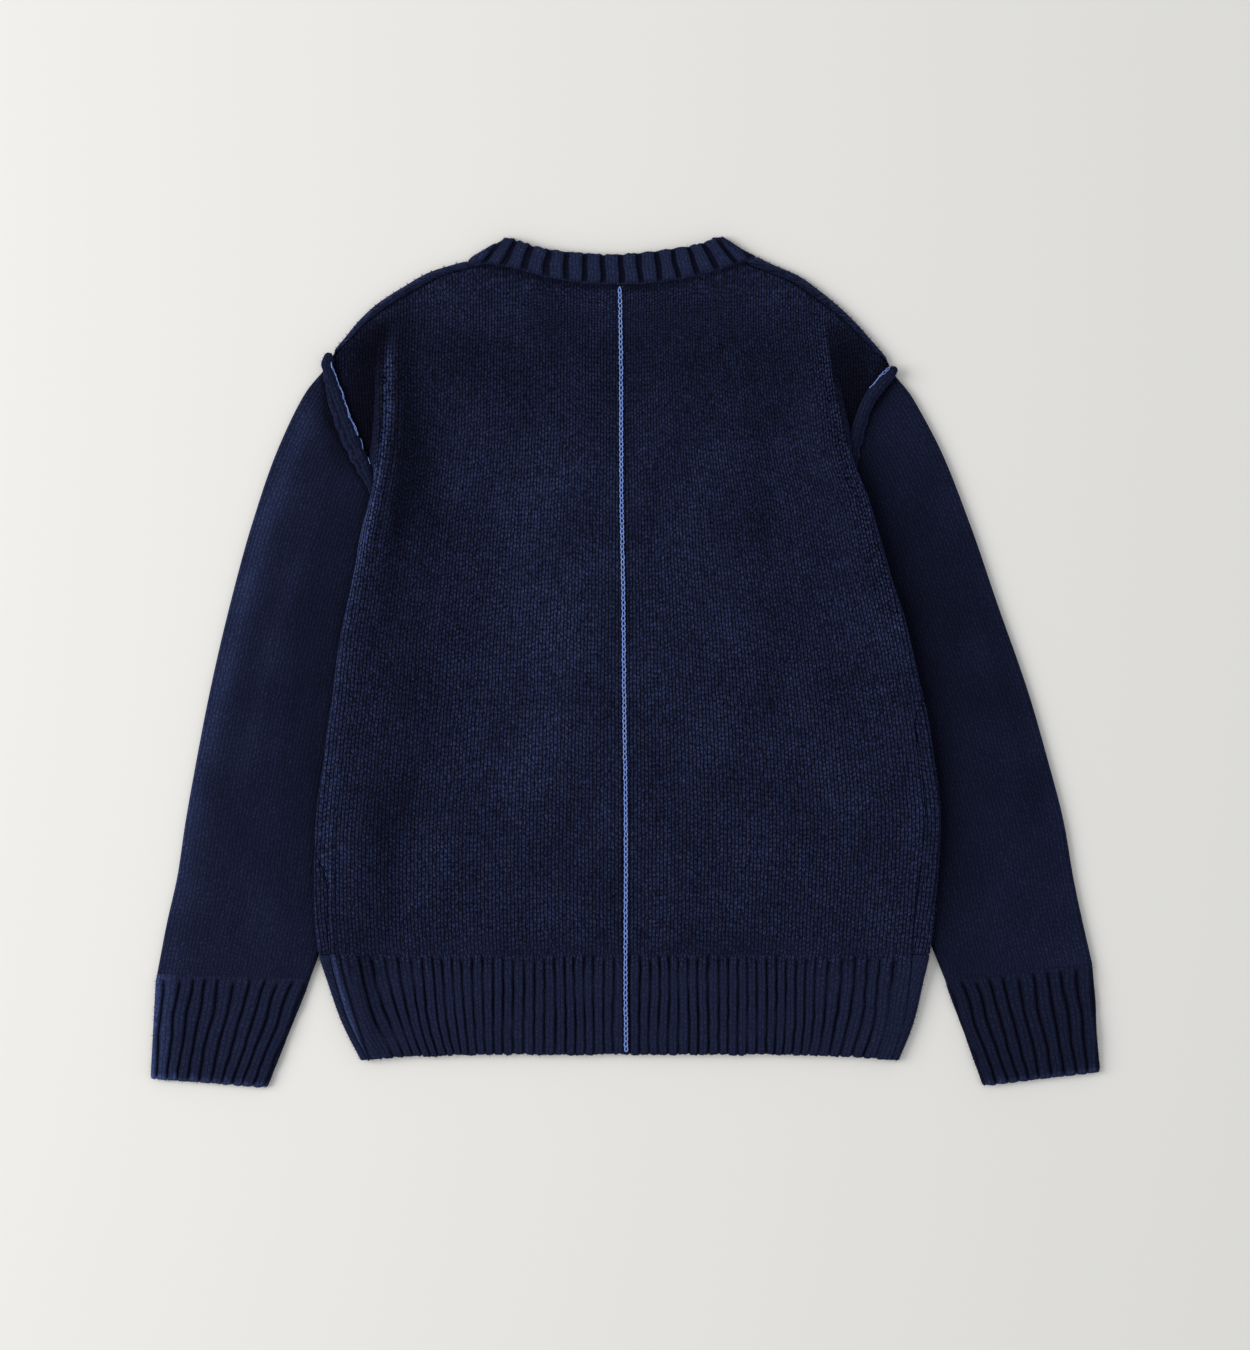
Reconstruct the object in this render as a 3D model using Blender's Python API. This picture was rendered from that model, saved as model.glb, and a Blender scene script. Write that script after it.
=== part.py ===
# A chunky knitted crew-neck jumper, laid out face down on a flat surface, back up.
# +X runs across the body, +Y from the hem to the collar, +Z up; the cloth rests on z = 0.
# Every piece is a wall of knit: a grid of points on its middle surface, moved out and in
# by half the cloth's thickness. Sizes below are millimetres and the model is in metres.

import bmesh
import bpy
import numpy as np

METRES = 0.001

# The cloth.
WALL = 2.4
HALF_WALL = WALL / 2
SEAM_GAP = 0.3
SIDE_GAP = 0.36             # at a side seam that shows
HIDDEN_SIDE_GAP = 1.08      # at one that runs under the fold
SHOULDER_GAP = 0.54
ARMHOLE_GAP = 0.5
COLLAR_GAP = 0.9
COLLAR_FRONT_GAP = 1.5
RIB_RELIEF = 0.9
LAYER_HEIGHT = 6.0          # two walls and the air in a flattened tube
BODY_TOP = 6.3              # middle of the back's wall where only the front lies beneath it
OVER_SLEEVE = 11.4          # the same where a sleeve lies between back and front

# The main lines, as distances from the centre line and heights up the body.
HEM_BOTTOM = -321.6
HEM_TOP = -239.6
UNDERARM_Y = {"left": 18.0, "right": 22.0}
SHOULDER_END_Y = {"left": 247.0, "right": 241.0}
NECK_POINT = {"left": (-130.8, 328.0), "right": (108.5, 332.0)}
COLLAR_CORNER = {"left": (-99.5, 346.6), "right": (79.5, 347.2)}
FRONT_NECK_DROP = 94.0
COLLAR_DROP = 86.0          # the same for the free edge of the front of the collar
CENTRE_SEAM_X = -2.5

SIGN = {"left": -1, "right": 1}
FOLD_START_Y = {"left": 156.0, "right": 172.0}      # where the fold crosses the armhole

# The side of the body, from the hem to the top of the fold beside the armhole.
# edge: the outline's distance from the centre; top and under: middle heights of the
# two layers beside it; seam: the side seam's distance from the edge, minus beneath.
SIDE_COLUMNS = ("y", "edge", "top", "under", "seam")
SIDE_ROWS = {
    "left": (
        (-322, 217, 6.6, 1.2, 5),
        (-294, 232, 6.9, 1.2, 5),
        (-262, 244, 8.6, 3.6, 6),
        (-240, 251, 11.0, 7.0, 8),
        (-215, 254, 11.7, 7.7, 9),
        (-178, 255, 12.4, 7.7, 9),
        (-138, 254, 13.0, 7.7, -9),
        (-100, 250, 14.0, 7.7, -28),
        (-62, 245, 15.0, 7.7, -43),
        (-21, 239, 16.0, 7.7, -61),
        (18, 234, 16.8, 7.7, -80),
        (57, 226, 17.5, 7.7, -80),
        (100, 219, 18.2, 8.8, -80),
        (137, 211, 19.2, 12.4, -80),
        (159, 206, 19.2, 12.4, -80),
        (198, 201, 15.4, 12.4, -80),
        (247, 199, 9.4, 7.7, -80),
        (275, 197, 6.3, 7.7, -80),
        (333, 197, 6.3, 7.7, -80),
    ),
    "right": (
        (-322, 224, 6.6, 1.2, 5),
        (-294, 236, 6.9, 1.2, 7),
        (-262, 244, 8.6, 3.6, 10),
        (-240, 249, 11.0, 7.0, 13),
        (-215, 252, 11.7, 7.7, 15),
        (-171, 256, 12.4, 7.7, 14),
        (-126, 258, 12.8, 7.7, 12),
        (-82, 253, 13.2, 7.7, 10),
        (-38, 246, 14.0, 7.7, 5),
        (-8, 239, 15.2, 7.7, -30),
        (22, 232, 16.0, 7.7, -82),
        (60, 221, 16.8, 7.7, -82),
        (100, 209, 17.4, 8.8, -82),
        (133, 200, 18.2, 12.4, -82),
        (172, 184, 18.2, 12.4, -82),
        (200, 178, 15.0, 12.4, -82),
        (244, 170, 8.6, 7.7, -82),
        (272, 166, 6.3, 7.7, -82),
        (333, 166, 6.3, 7.7, -82),
    ),
}

# The armhole seam, from the underarm to the end of the shoulder.
ARMHOLE_COLUMNS = ("y", "line")
ARMHOLE_ROWS = {
    "left": ((18, 154.6), (90, 181), (161, 208), (198, 224), (247, 241.5)),
    "right": ((22, 149.7), (90, 165.5), (150, 179), (190, 190), (222, 204), (241, 217.5)),
}

# The shoulder: its outline, how far the front wraps over onto the back, and how much
# longer a step across the edge is along X, because the outline slants.
SHOULDER_COLUMNS = ("y", "outline", "strip", "slant")
SHOULDER_ROWS = {
    "left": (
        (240, 246, 4, 1.2),
        (247, 244.5, 5, 1.3),
        (266, 230, 8, 1.4),
        (281, 217.5, 12, 1.6),
        (292, 205.5, 15, 1.8),
        (308, 181, 18, 2.0),
        (321, 156, 20, 2.4),
        (328, 131.5, 22, 2.6),
    ),
    "right": (
        (234, 225, 4, 1.2),
        (241, 220.5, 4, 1.3),
        (265, 200.5, 6, 1.4),
        (279, 188, 7, 1.6),
        (301, 163.5, 8, 1.7),
        (318, 139, 10, 1.9),
        (328, 116, 12, 2.2),
        (332, 109, 12, 2.2),
    ),
}

# The free edge of the sleeve, from the shoulder to the top of the cuff.
SLEEVE_COLUMNS = ("y", "outer")
SLEEVE_ROWS = {
    "left": (
        (247, 245.5), (215, 266), (182, 282), (116, 305.5), (51, 323.5), (-31, 342.5),
        (-80, 352), (-130, 361), (-179, 368.5), (-212, 376), (-256, 384.5),
    ),
    "right": (
        (241, 221), (215, 236.5), (182, 254.5), (116, 281.5), (51, 304), (-31, 332.5),
        (-80, 346.5), (-130, 359.5), (-179, 368), (-212, 375), (-247, 383),
    ),
}
UNDERARM_POINT = {"left": (154.6, 18.0), "right": (149.7, 22.0)}
CUFF_TOP = {"left": ((384.5, -256.0), (259.0, -260.0)), "right": ((383.0, -247.0), (262.5, -261.5))}
CUFF_END = {"left": ((389.0, -341.5), (294.6, -348.8)), "right": ((389.0, -336.0), (294.0, -347.4))}
SLEEVE_CROWN = 2.6          # how far the top of a sleeve swells above its flat edges
SWELL_PAST_BODY = (8.0, 40.0)
SWELL_INSIDE = 40.0
SWELL_TOP = (90.0, 190.0)
SWELL_BOTTOM = (-250.0, -190.0)

# The collar's back: where it is sewn to the body, and its free edge.
COLLAR_COLUMNS = ("x", "seam", "free")
COLLAR_ROWS = (
    (-131, 328.0, 347.0),
    (-111, 325.8, 347.0),
    (-91, 322.4, 346.0),
    (-70, 316.6, 339.8),
    (-45, 311.8, 336.0),
    (-4, 309.2, 334.0),
    (20, 310.2, 336.2),
    (53, 315.0, 341.0),
    (78, 321.6, 347.4),
    (98, 328.4, 348.0),
    (109, 332.0, 348.0),
)

# The seam allowance that stands out along the armhole, beside the seam on the sleeve.
RIDGE_WIDTH = 11.0
RIDGE_HEIGHT = 4.4
RIDGE_HIDDEN_HEIGHT = 2.2
RIDGE_SHOWS_Y = {"left": 148.0, "right": 158.0}
RIDGE_END_Y = {"left": 122.0, "right": 126.0}
RIDGE_PAST_SHOULDER = 4.0
RIDGE_END_LEAN = -0.5       # how far it turns along the shoulder there, to each mm of height
RIDGE_END_TAPER = 0.35
RIDGE_FLATNESS = 1.35

# Ribs.
HEM_RIB_PITCH = 8.9
CUFF_RIBS = 11
COLLAR_RIBS = 16
POINTS_PER_RIB = 4
RIB_PROFILE = (0.0, 0.75, 1.0, 0.75)

# How the layers rise and fall, as lengths across the body unless a line says otherwise.
CREST = (46.0, 9.0)         # from here to here inside the edge, the back climbs to its fold
RISE_OVER_SLEEVE = (54.0, 5.0)      # the same before the edge of the sleeve beneath it
SLEEVE_BENEATH_LOW = (-275.0, -200.0)       # heights between which the sleeve goes under
SLEEVE_BENEATH_HIGH = (110.0, 190.0)        # and comes out again
RAMP_CLEARANCE = 5.0        # the front stays this far clear of the sleeve as it climbs
RAMP_LENGTH = 18.0
FOLD_ZONE = 26.0            # the strip of the back beside its fold
SIDE_ZONE = 6.0             # half of the strip of the front beside its edge
FOLD_OPENS = (-6.0, 10.0)   # heights about the fold's start where its roll opens out
POCKET_FALL = 26.0          # beside the upper armhole the back falls over this length
POCKET_START = 7.0          # and starts to, this far inside its fold
POCKET_HEIGHTS = (-6.0, 16.0)
UNDERARM_TURN = (1.0, 18.0)         # heights above the underarm where the front lies down
UNDERARM_CLEARANCE = 2.5
SHOULDER_TURN = 12.0        # height in which the front starts to wrap over the shoulder
NECKLINE_START = 255.0      # height above which the rows of the back bend to the neckline
FRONT_NECKLINE_START = 40.0         # the same for the front
NECK_INSET = 8.0            # how far in from the shoulder the front's neckline starts to fall
HEM_CORNER_DROP = 5.0       # how much lower the hem hangs at its corners than in the middle
CORNER_SHARPNESS = 6

# How finely the walls are divided.
ROW_HEIGHTS = {
    "left": (
        HEM_TOP + 0.5, -222, -200, -178, -168, -161, -154, -146, -125, -90, -50, -15,
        4, 18, 25, 36, 60, 95, 120, 138, 150, 157, 164, 175,
        195, 218, 240, 248, 258, 270, 283, 296, 308, 318, 324, 328,
    ),
    "right": (
        HEM_TOP + 0.5, -205, -165, -120, -80, -52, -42, -36, -30, -22, -12, 0,
        10, 22, 30, 42, 65, 100, 130, 150, 165, 172, 179, 190,
        208, 226, 242, 250, 261, 275, 290, 304, 316, 324, 329, 332,
    ),
}
LENGTH_FOR_A_POINT = 30.0
TURN_FOR_A_POINT = np.radians(20.0)
BACK_SPANS = (7, 8)          # to the fold, then round it
FRONT_SPANS = (8, 5)         # across the surface, then round the side
HEM_FRONT_SPANS = (6, 5)
RIB_ROWS = 2
SLEEVE_RINGS = 11
RINGS_TOWARDS_SHOULDER = 1.5
FACE_CROWDING = 1.5
BEND_FADE = (1.0, 0.6, 0.2)         # how much of the armhole's curve the first rings follow
SLEEVE_FACE_SPANS = 9
CUFF_FLOOR_SPANS = 4
EDGE_SPANS = 4
COLLAR_FRONT_SPANS = 18
RIDGE_ROWS = 12
RIDGE_SIDES = 8

NAVY = (0.0088, 0.0122, 0.0290, 1.0)
NAVY_RIB = (0.0080, 0.0112, 0.0270, 1.0)


def column(rows, columns, name):
    place = columns.index(name)
    return np.array([row[place] for row in rows], dtype=float)


def smooth_between(known_at, known, at):
    # A curve through known values with a continuous slope, held level past its ends.
    slopes = np.gradient(known, known_at)
    at = np.clip(at, known_at[0], known_at[-1])
    span = np.clip(np.searchsorted(known_at, at, side="right") - 1, 0, len(known_at) - 2)
    width = known_at[span + 1] - known_at[span]
    part = (at - known_at[span]) / width
    rise = part * part * (3 - 2 * part)
    bend_in = part * (1 - part) ** 2
    bend_out = -part * part * (1 - part)
    level = known[span] * (1 - rise) + known[span + 1] * rise
    return level + width * (slopes[span] * bend_in + slopes[span + 1] * bend_out)


def read(rows, columns, key, name, at):
    known_at = column(rows, columns, key)
    known = column(rows, columns, name)
    order = np.argsort(known_at)
    return smooth_between(known_at[order], known[order], np.asarray(at, dtype=float))


def side_value(side, name, y):
    found = float(read(SIDE_ROWS[side], SIDE_COLUMNS, "y", name, y))
    return max(found, HALF_WALL) if name == "under" else found


def shoulder_value(side, name, y):
    return float(read(SHOULDER_ROWS[side], SHOULDER_COLUMNS, "y", name, y))


def armhole_line(side, y):
    return float(read(ARMHOLE_ROWS[side], ARMHOLE_COLUMNS, "y", "line", y))


def step(value, start, end):
    # 0 before start, 1 past end, and a soft rise between them.
    part = np.clip((value - start) / (end - start), 0, 1)
    return part * part * (3 - 2 * part)


def step_evenly(value, start, end):
    # The same in a straight line, also from a larger value down to a smaller one.
    return np.clip((value - start) / (end - start), 0, 1)


def sleeve_inner_line(side, y):
    # The underarm fold of the sleeve, which lies beneath the body and comes out at the hem.
    top_x, top_y = UNDERARM_POINT[side]
    low_x, low_y = CUFF_TOP[side][1]
    return top_x + (low_x - top_x) * (top_y - y) / (top_y - low_y)


def walk(line, measure, count):
    # Points along a line with the same share of the measure between each two.
    total = np.concatenate(([0.0], np.cumsum(measure)))
    wanted = np.linspace(0, total[-1], count)
    return np.stack([np.interp(wanted, total, line[:, k]) for k in (0, 1)], axis=1)


def evenly(line, count):
    return walk(line, np.linalg.norm(np.diff(line, axis=0), axis=1), count)


def spread(line, count):
    # Points along a line, closer together where it bends.
    steps = np.diff(line, axis=0)
    if len(steps) < 2:
        return evenly(line, count)
    lengths = np.linalg.norm(steps, axis=1)
    turns = np.abs(np.gradient(np.unwrap(np.arctan2(steps[:, 1], steps[:, 0]))))
    return walk(line, lengths / LENGTH_FOR_A_POINT + turns / TURN_FOR_A_POINT, count)


def cut_line(line, run, start, end):
    # The part of a line between two values of run, which grows along it.
    inside = (run > start + 0.05) & (run < end - 0.05)
    ends = [[np.interp(at, run, line[:, k]) for k in (0, 1)] for at in (start, end)]
    return np.vstack([ends[0], line[inside], ends[1]])


def back_height(side, y, across):
    # The middle height of the back's wall, from the centre out to its rolled edge.
    underarm = UNDERARM_Y[side]
    edge = side_value(side, "edge", y)
    inner = armhole_line(side, y) if y > underarm else sleeve_inner_line(side, y)
    sleeve_beneath = step(y, *SLEEVE_BENEATH_LOW) * (1 - step(y, *SLEEVE_BENEATH_HIGH))
    lifted = sleeve_beneath * step(across, inner - RISE_OVER_SLEEVE[0], inner - RISE_OVER_SLEEVE[1])
    height = BODY_TOP + (OVER_SLEEVE - BODY_TOP) * lifted
    crest = step(across, edge - CREST[0], edge - CREST[1])
    return height + (side_value(side, "top", y) - height) * crest


def round_edge(edge, top, under, slant=1.0):
    # The half round at a fold, from the top layer to the layer under it.
    radius = (top - under) / 2
    reach = radius * slant
    turn = np.linspace(np.pi / 2, -np.pi / 2, 25)
    across = edge - reach + reach * np.cos(turn)
    height = (top + under) / 2 + radius * np.sin(turn)
    return np.stack([across, height], axis=1), reach


def rolled_back(side, y):
    # The back from its centre out to the fold and round it, and where the fold's round ends.
    edge = side_value(side, "edge", y) - HALF_WALL
    arc, reach = round_edge(edge, side_value(side, "top", y), side_value(side, "under", y))
    across = np.linspace(0, edge - reach, 90)
    flat = np.stack([across, back_height(side, y, across)], axis=1)
    return np.vstack([flat, arc[1:]]), edge, edge - reach


def run_past_edge(line, edge):
    # The distance of each point past the edge: minus on top of it, plus beneath.
    turned = np.argmax(line[:, 0])
    return np.where(np.arange(len(line)) <= turned, line[:, 0] - edge, edge - line[:, 0])


def body_ring(side, y):
    # Half of the body's cross-section, from the centre of the back, round the side,
    # over the sleeve and down to the middle of the front.
    upper, edge, arc_end = rolled_back(side, y)
    under = side_value(side, "under", y)
    ramp_start = min(sleeve_inner_line(side, y) - RAMP_CLEARANCE, arc_end - WALL)
    ramp_end = ramp_start - RAMP_LENGTH
    across = np.concatenate((
        np.linspace(arc_end, ramp_start, 24)[1:],
        np.linspace(ramp_start, ramp_end, 16)[1:],
        np.linspace(ramp_end, 0, 40)[1:],
    ))
    height = HALF_WALL + (under - HALF_WALL) * step(across, ramp_end, ramp_start)
    line = np.vstack([upper, np.stack([across, height], axis=1)])
    return line, run_past_edge(line, edge)


def side_gap(side, y):
    # The gap at the side seam, measured across: wider where the seam runs aslant or beneath.
    lean = (side_value(side, "seam", y + 3) - side_value(side, "seam", y - 3)) / 6
    beneath = step(-side_value(side, "seam", y), -9, 0)
    return float(np.hypot(1, lean)) * (SIDE_GAP + (HIDDEN_SIDE_GAP - SIDE_GAP) * beneath)


def back_section_low(side, y):
    # Below the underarm: from the centre to the side seam.
    line, run = body_ring(side, y)
    seam = -side_value(side, "seam", y) - side_gap(side, y) / 2
    return cut_line(line, run, run[0], -FOLD_ZONE), cut_line(line, run, -FOLD_ZONE, seam)


def back_section_rolled(side, y):
    # Beside the lower armhole: round the fold and back in beneath it to the armhole.
    upper, edge, arc_end = rolled_back(side, y)
    seam = armhole_line(side, y) - SEAM_GAP / 2
    line = np.vstack([upper, [min(seam, arc_end - HALF_WALL), side_value(side, "under", y)]])
    run = run_past_edge(line, edge)
    end = max(edge - seam, SEAM_GAP)
    return cut_line(line, run, run[0], -FOLD_ZONE), cut_line(line, run, -FOLD_ZONE, end)


def back_section_open(side, y):
    # Beside the upper armhole and the shoulder: off the fold and down to the seam.
    fold = side_value(side, "edge", y)
    emptied = step(y - FOLD_START_Y[side], *POCKET_HEIGHTS)
    pocket = OVER_SLEEVE + (BODY_TOP - OVER_SLEEVE) * emptied
    if y < SHOULDER_END_Y[side]:
        end = armhole_line(side, y) - SEAM_GAP / 2
    else:
        end = shoulder_value(side, "outline", y) - shoulder_value(side, "strip", y)
    across = np.linspace(0, end, 150)
    start = min(fold - POCKET_START, end - 2 * WALL)
    fall = step(across, start, min(end, start + POCKET_FALL))
    height = back_height(side, y, across)
    line = np.stack([across, height + (pocket - height) * fall], axis=1)
    split = min(fold - FOLD_ZONE, end * 0.8)
    return cut_line(line, across, 0, split), cut_line(line, across, split, end)


def join_parts(parts, spans):
    # One section from two lines that meet, each with its own number of spans.
    first, second = [spread(part, count + 1) for part, count in zip(parts, spans)]
    return np.vstack([first, second[1:]])


def back_section(side, y):
    # From the centre of the back out to its side seam, armhole or shoulder seam.
    if y <= UNDERARM_Y[side]:
        return join_parts(back_section_low(side, y), BACK_SPANS)
    opened = step(y - FOLD_START_Y[side], *FOLD_OPENS)
    section = 0
    if opened < 1:
        section = section + (1 - opened) * join_parts(back_section_rolled(side, y), BACK_SPANS)
    if opened > 0:
        section = section + opened * join_parts(back_section_open(side, y), BACK_SPANS)
    return section


def front_section_low(side, y):
    # Below the underarm: across the surface, up over the sleeve and round to the side seam.
    line, run = body_ring(side, y)
    seam = -side_value(side, "seam", y) + side_gap(side, y) / 2
    split = max(seam, SIDE_ZONE) + SIDE_ZONE
    return cut_line(line, run, split, run[-1])[::-1], cut_line(line, run, seam, split)[::-1]


def front_section_flat(side, y):
    # Beside the armhole: flat on the surface, out to the seam.
    clearance = UNDERARM_CLEARANCE * (1 - step(y, UNDERARM_Y[side], UNDERARM_Y[side] + 30))
    end = armhole_line(side, y) - SEAM_GAP - clearance
    split = end - 2 * SIDE_ZONE
    middle, corner, edge = (0, HALF_WALL), (split, HALF_WALL), (end, HALF_WALL)
    return np.array((middle, corner)), np.array((corner, edge))


def front_section_wrapped(side, y):
    # Above the armhole: round the shoulder's edge and onto the back.
    outline, strip, slant = [shoulder_value(side, name, y) for name in SHOULDER_COLUMNS[1:]]
    arc, reach = round_edge(outline - HALF_WALL, BODY_TOP, HALF_WALL, slant)
    arc_end = outline - HALF_WALL - reach
    strip_end = min(outline - strip + SHOULDER_GAP * slant, arc_end - SEAM_GAP)
    floor = np.array(((0, HALF_WALL), (arc_end, HALF_WALL)))
    return floor, np.vstack([arc[::-1], (strip_end, BODY_TOP)])


def front_section(side, y):
    # From the middle of the front out to its side seam, armhole or shoulder seam.
    lying = step(y - UNDERARM_Y[side], *UNDERARM_TURN)
    wrapped = step(y - SHOULDER_END_Y[side], 0, SHOULDER_TURN)
    section = 0
    if lying < 1:
        low = join_parts(front_section_low(side, min(y, UNDERARM_Y[side])), FRONT_SPANS)
        section = section + (1 - lying) * low
    if lying > 0 and wrapped < 1:
        flat = join_parts(front_section_flat(side, y), FRONT_SPANS)
        section = section + lying * (1 - wrapped) * flat
    if wrapped > 0:
        section = section + wrapped * join_parts(front_section_wrapped(side, y), FRONT_SPANS)
    return section


def back_neckline(across):
    return read(COLLAR_ROWS, COLLAR_COLUMNS, "x", "seam", across)


def neck_base(across):
    left_x, left_y = NECK_POINT["left"]
    right_x, right_y = NECK_POINT["right"]
    return left_y + (right_y - left_y) * (across - left_x) / (right_x - left_x)


def front_drop(across, depth):
    # How far the front's neckline hangs below the line between the two neck points.
    left_x = NECK_POINT["left"][0] + NECK_INSET
    right_x = NECK_POINT["right"][0] - NECK_INSET
    part = (2 * across - left_x - right_x) / (right_x - left_x)
    return depth * np.clip(1 - part * part, 0, 1)


def section_grid(side, heights, cut):
    # A grid of the sections that cut makes at these heights.
    rows = []
    for y in heights:
        section = cut(side, y)
        rows.append(np.stack([SIGN[side] * section[:, 0], np.full(len(section), y), section[:, 1]], axis=1))
    return np.array(rows)


def start_at_centre_seam(side, section):
    start = SIGN[side] * CENTRE_SEAM_X + SEAM_GAP / 2
    across = section[:, 0] + start * (1 - section[:, 0] / section[:, 0].max())
    return np.stack([across, section[:, 1]], axis=1)


def join_halves(left, right):
    middle = (left[:, :1] + right[:, :1]) / 2
    return np.concatenate((left[:, :0:-1], middle, right[:, 1:]), axis=1)


def back_grid(side):
    heights = np.array(ROW_HEIGHTS[side], dtype=float)
    grid = section_grid(side, heights, lambda side, y: start_at_centre_seam(side, back_section(side, y)))
    dip = heights[-1] - back_neckline(grid[-1, :, 0])
    grid[:, :, 1] -= step(heights, NECKLINE_START, heights[-1])[:, None] * dip
    return grid


def front_half(side):
    heights = np.array(ROW_HEIGHTS[side], dtype=float)
    top = heights[-1]
    grid = section_grid(side, heights, front_section)
    across = grid[-1, :, 0]
    on_floor = np.arange(len(across)) <= FRONT_SPANS[0]
    low_neckline = neck_base(across) - front_drop(across, FRONT_NECK_DROP)
    dip = top - np.where(on_floor, low_neckline, back_neckline(across))
    on_floor_bend = step(heights, FRONT_NECKLINE_START, top)[:, None]
    bend = np.where(on_floor, on_floor_bend, step(heights, NECKLINE_START, top)[:, None])
    grid[:, :, 1] -= bend * dip
    return grid


def front_grid():
    return join_halves(front_half("left"), front_half("right"))


def hem_half(side, cut):
    # The ribs of the hem hang a little lower towards the corners.
    grid = section_grid(side, np.linspace(HEM_TOP, HEM_BOTTOM, RIB_ROWS + 1), cut)
    towards_end = np.linspace(0, 1, RIB_ROWS + 1)[:, None]
    towards_corner = np.abs(grid[:, :, 0]) / np.abs(grid[:, :, 0]).max(axis=1, keepdims=True)
    grid[:, :, 1] -= HEM_CORNER_DROP * towards_end * towards_corner ** CORNER_SHARPNESS
    return grid


def hem_back_grid(side, ribs):
    def cut(side, y):
        line = evenly(np.vstack(back_section_low(side, y)), ribs * POINTS_PER_RIB + 1)
        return start_at_centre_seam(side, line)
    return hem_half(side, cut)


def hem_front_grid():
    def cut(side, y):
        return join_parts(front_section_low(side, y), HEM_FRONT_SPANS)
    return join_halves(hem_half("left", cut), hem_half("right", cut))


def tube_ring(outer, inner, top_spans, floor_spans, crowding=1.0):
    # A flattened tube's middle ring between its two edges, top first from the inner edge.
    # With crowding over 1 its points stand closer together towards the outer edge.
    outer = np.array(outer)
    inner = np.array(inner)
    width = np.linalg.norm(outer - inner)
    radius = LAYER_HEIGHT / 2 - HALF_WALL
    margin = (radius + HALF_WALL) / width
    top_part = margin + (1 - 2 * margin) * (1 - (1 - np.linspace(0, 1, top_spans + 1)) ** crowding)
    floor_part = margin + (1 - 2 * margin) * (1 - np.linspace(0, 1, floor_spans + 1) ** crowding)
    turn = np.linspace(np.pi / 2, -np.pi / 2, EDGE_SPANS + 1)[1:-1]
    reach = radius / width
    part = np.concatenate((
        top_part, 1 - margin + reach * np.cos(turn), floor_part, margin - reach * np.cos(turn),
    ))
    height = np.concatenate((
        np.full(top_spans + 1, LAYER_HEIGHT - HALF_WALL),
        LAYER_HEIGHT / 2 + radius * np.sin(turn),
        np.full(floor_spans + 1, HALF_WALL),
        LAYER_HEIGHT / 2 - radius * np.sin(turn),
    ))
    place = inner + part[:, None] * (outer - inner)
    return np.concatenate((place, height[:, None]), axis=1)


def sleeve_grid(side):
    # From the armhole down to the cuff, with the underarm fold hidden beneath the body.
    shoulder_y = SHOULDER_END_Y[side] - SEAM_GAP
    cuff_outer_y = CUFF_TOP[side][0][1]
    underarm = np.array(UNDERARM_POINT[side]) + (ARMHOLE_GAP, -ARMHOLE_GAP)
    rings = []
    for part in np.linspace(0, 1, SLEEVE_RINGS) ** RINGS_TOWARDS_SHOULDER:
        y = shoulder_y + (cuff_outer_y - shoulder_y) * part
        outer = (float(read(SLEEVE_ROWS[side], SLEEVE_COLUMNS, "y", "outer", y)), y)
        inner = underarm + (np.array(CUFF_TOP[side][1]) - underarm) * part
        rings.append(tube_ring(outer, inner, SLEEVE_FACE_SPANS, SLEEVE_FACE_SPANS, FACE_CROWDING))
    grid = np.array(rings)
    grid[:, 1:SLEEVE_FACE_SPANS, 2] += sleeve_swell(side, grid[:, 1:SLEEVE_FACE_SPANS])
    armhole = np.array([armhole_line(side, y) for y in grid[0, :, 1]])
    bend = armhole + ARMHOLE_GAP - grid[0, :, 0]
    grid[:len(BEND_FADE), :, 0] += np.array(BEND_FADE)[:, None] * bend
    grid[:, :, 0] *= SIGN[side]
    return grid


def sleeve_swell(side, points):
    # The top of the sleeve swells a little, clear of the body and of its own edges.
    across, y = points[:, :, 0], points[:, :, 1]
    past_body = across - read(SIDE_ROWS[side], SIDE_COLUMNS, "y", "edge", y)
    inside = read(SLEEVE_ROWS[side], SLEEVE_COLUMNS, "y", "outer", y) - across
    from_ends = (1 - step(y, *SWELL_TOP)) * step(y, *SWELL_BOTTOM)
    return SLEEVE_CROWN * step(past_body, *SWELL_PAST_BODY) * step(inside, 0, SWELL_INSIDE) * from_ends


def cuff_grid(side):
    (outer_top, inner_top) = [np.array(point) for point in CUFF_TOP[side]]
    (outer_end, inner_end) = [np.array(point) for point in CUFF_END[side]]
    gap = np.array((0, -SEAM_GAP))
    rings = []
    for part in np.linspace(0, 1, RIB_ROWS + 1):
        outer = outer_top + gap + (outer_end - outer_top - gap) * part
        inner = inner_top + gap + (inner_end - inner_top - gap) * part
        rings.append(tube_ring(outer, inner, CUFF_RIBS * POINTS_PER_RIB, CUFF_FLOOR_SPANS))
    grid = np.array(rings)
    grid[:, :, 0] *= SIGN[side]
    return grid


def collar_front(part, left, right, inset):
    # The front of the collar, from right to left, hung beneath the line between its ends.
    inner_ends = (right[0] - NECK_INSET, left[0] + NECK_INSET)
    across = np.concatenate((
        [right[0] - inset], np.linspace(*inner_ends, COLLAR_FRONT_SPANS - 1), [left[0] + inset],
    ))
    on_body = (NECK_POINT["right"][0] - NECK_INSET, NECK_POINT["left"][0] + NECK_INSET)
    at_seam = on_body[0] + (on_body[1] - on_body[0]) * step_evenly(across, *inner_ends)
    depth = FRONT_NECK_DROP + (COLLAR_DROP - FRONT_NECK_DROP) * part
    level = left[1] + (right[1] - left[1]) * (across - left[0]) / (right[0] - left[0])
    y = level + COLLAR_FRONT_GAP - front_drop(at_seam, depth)
    return np.stack([across, y, np.full(len(across), HALF_WALL)], axis=1)


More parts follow.
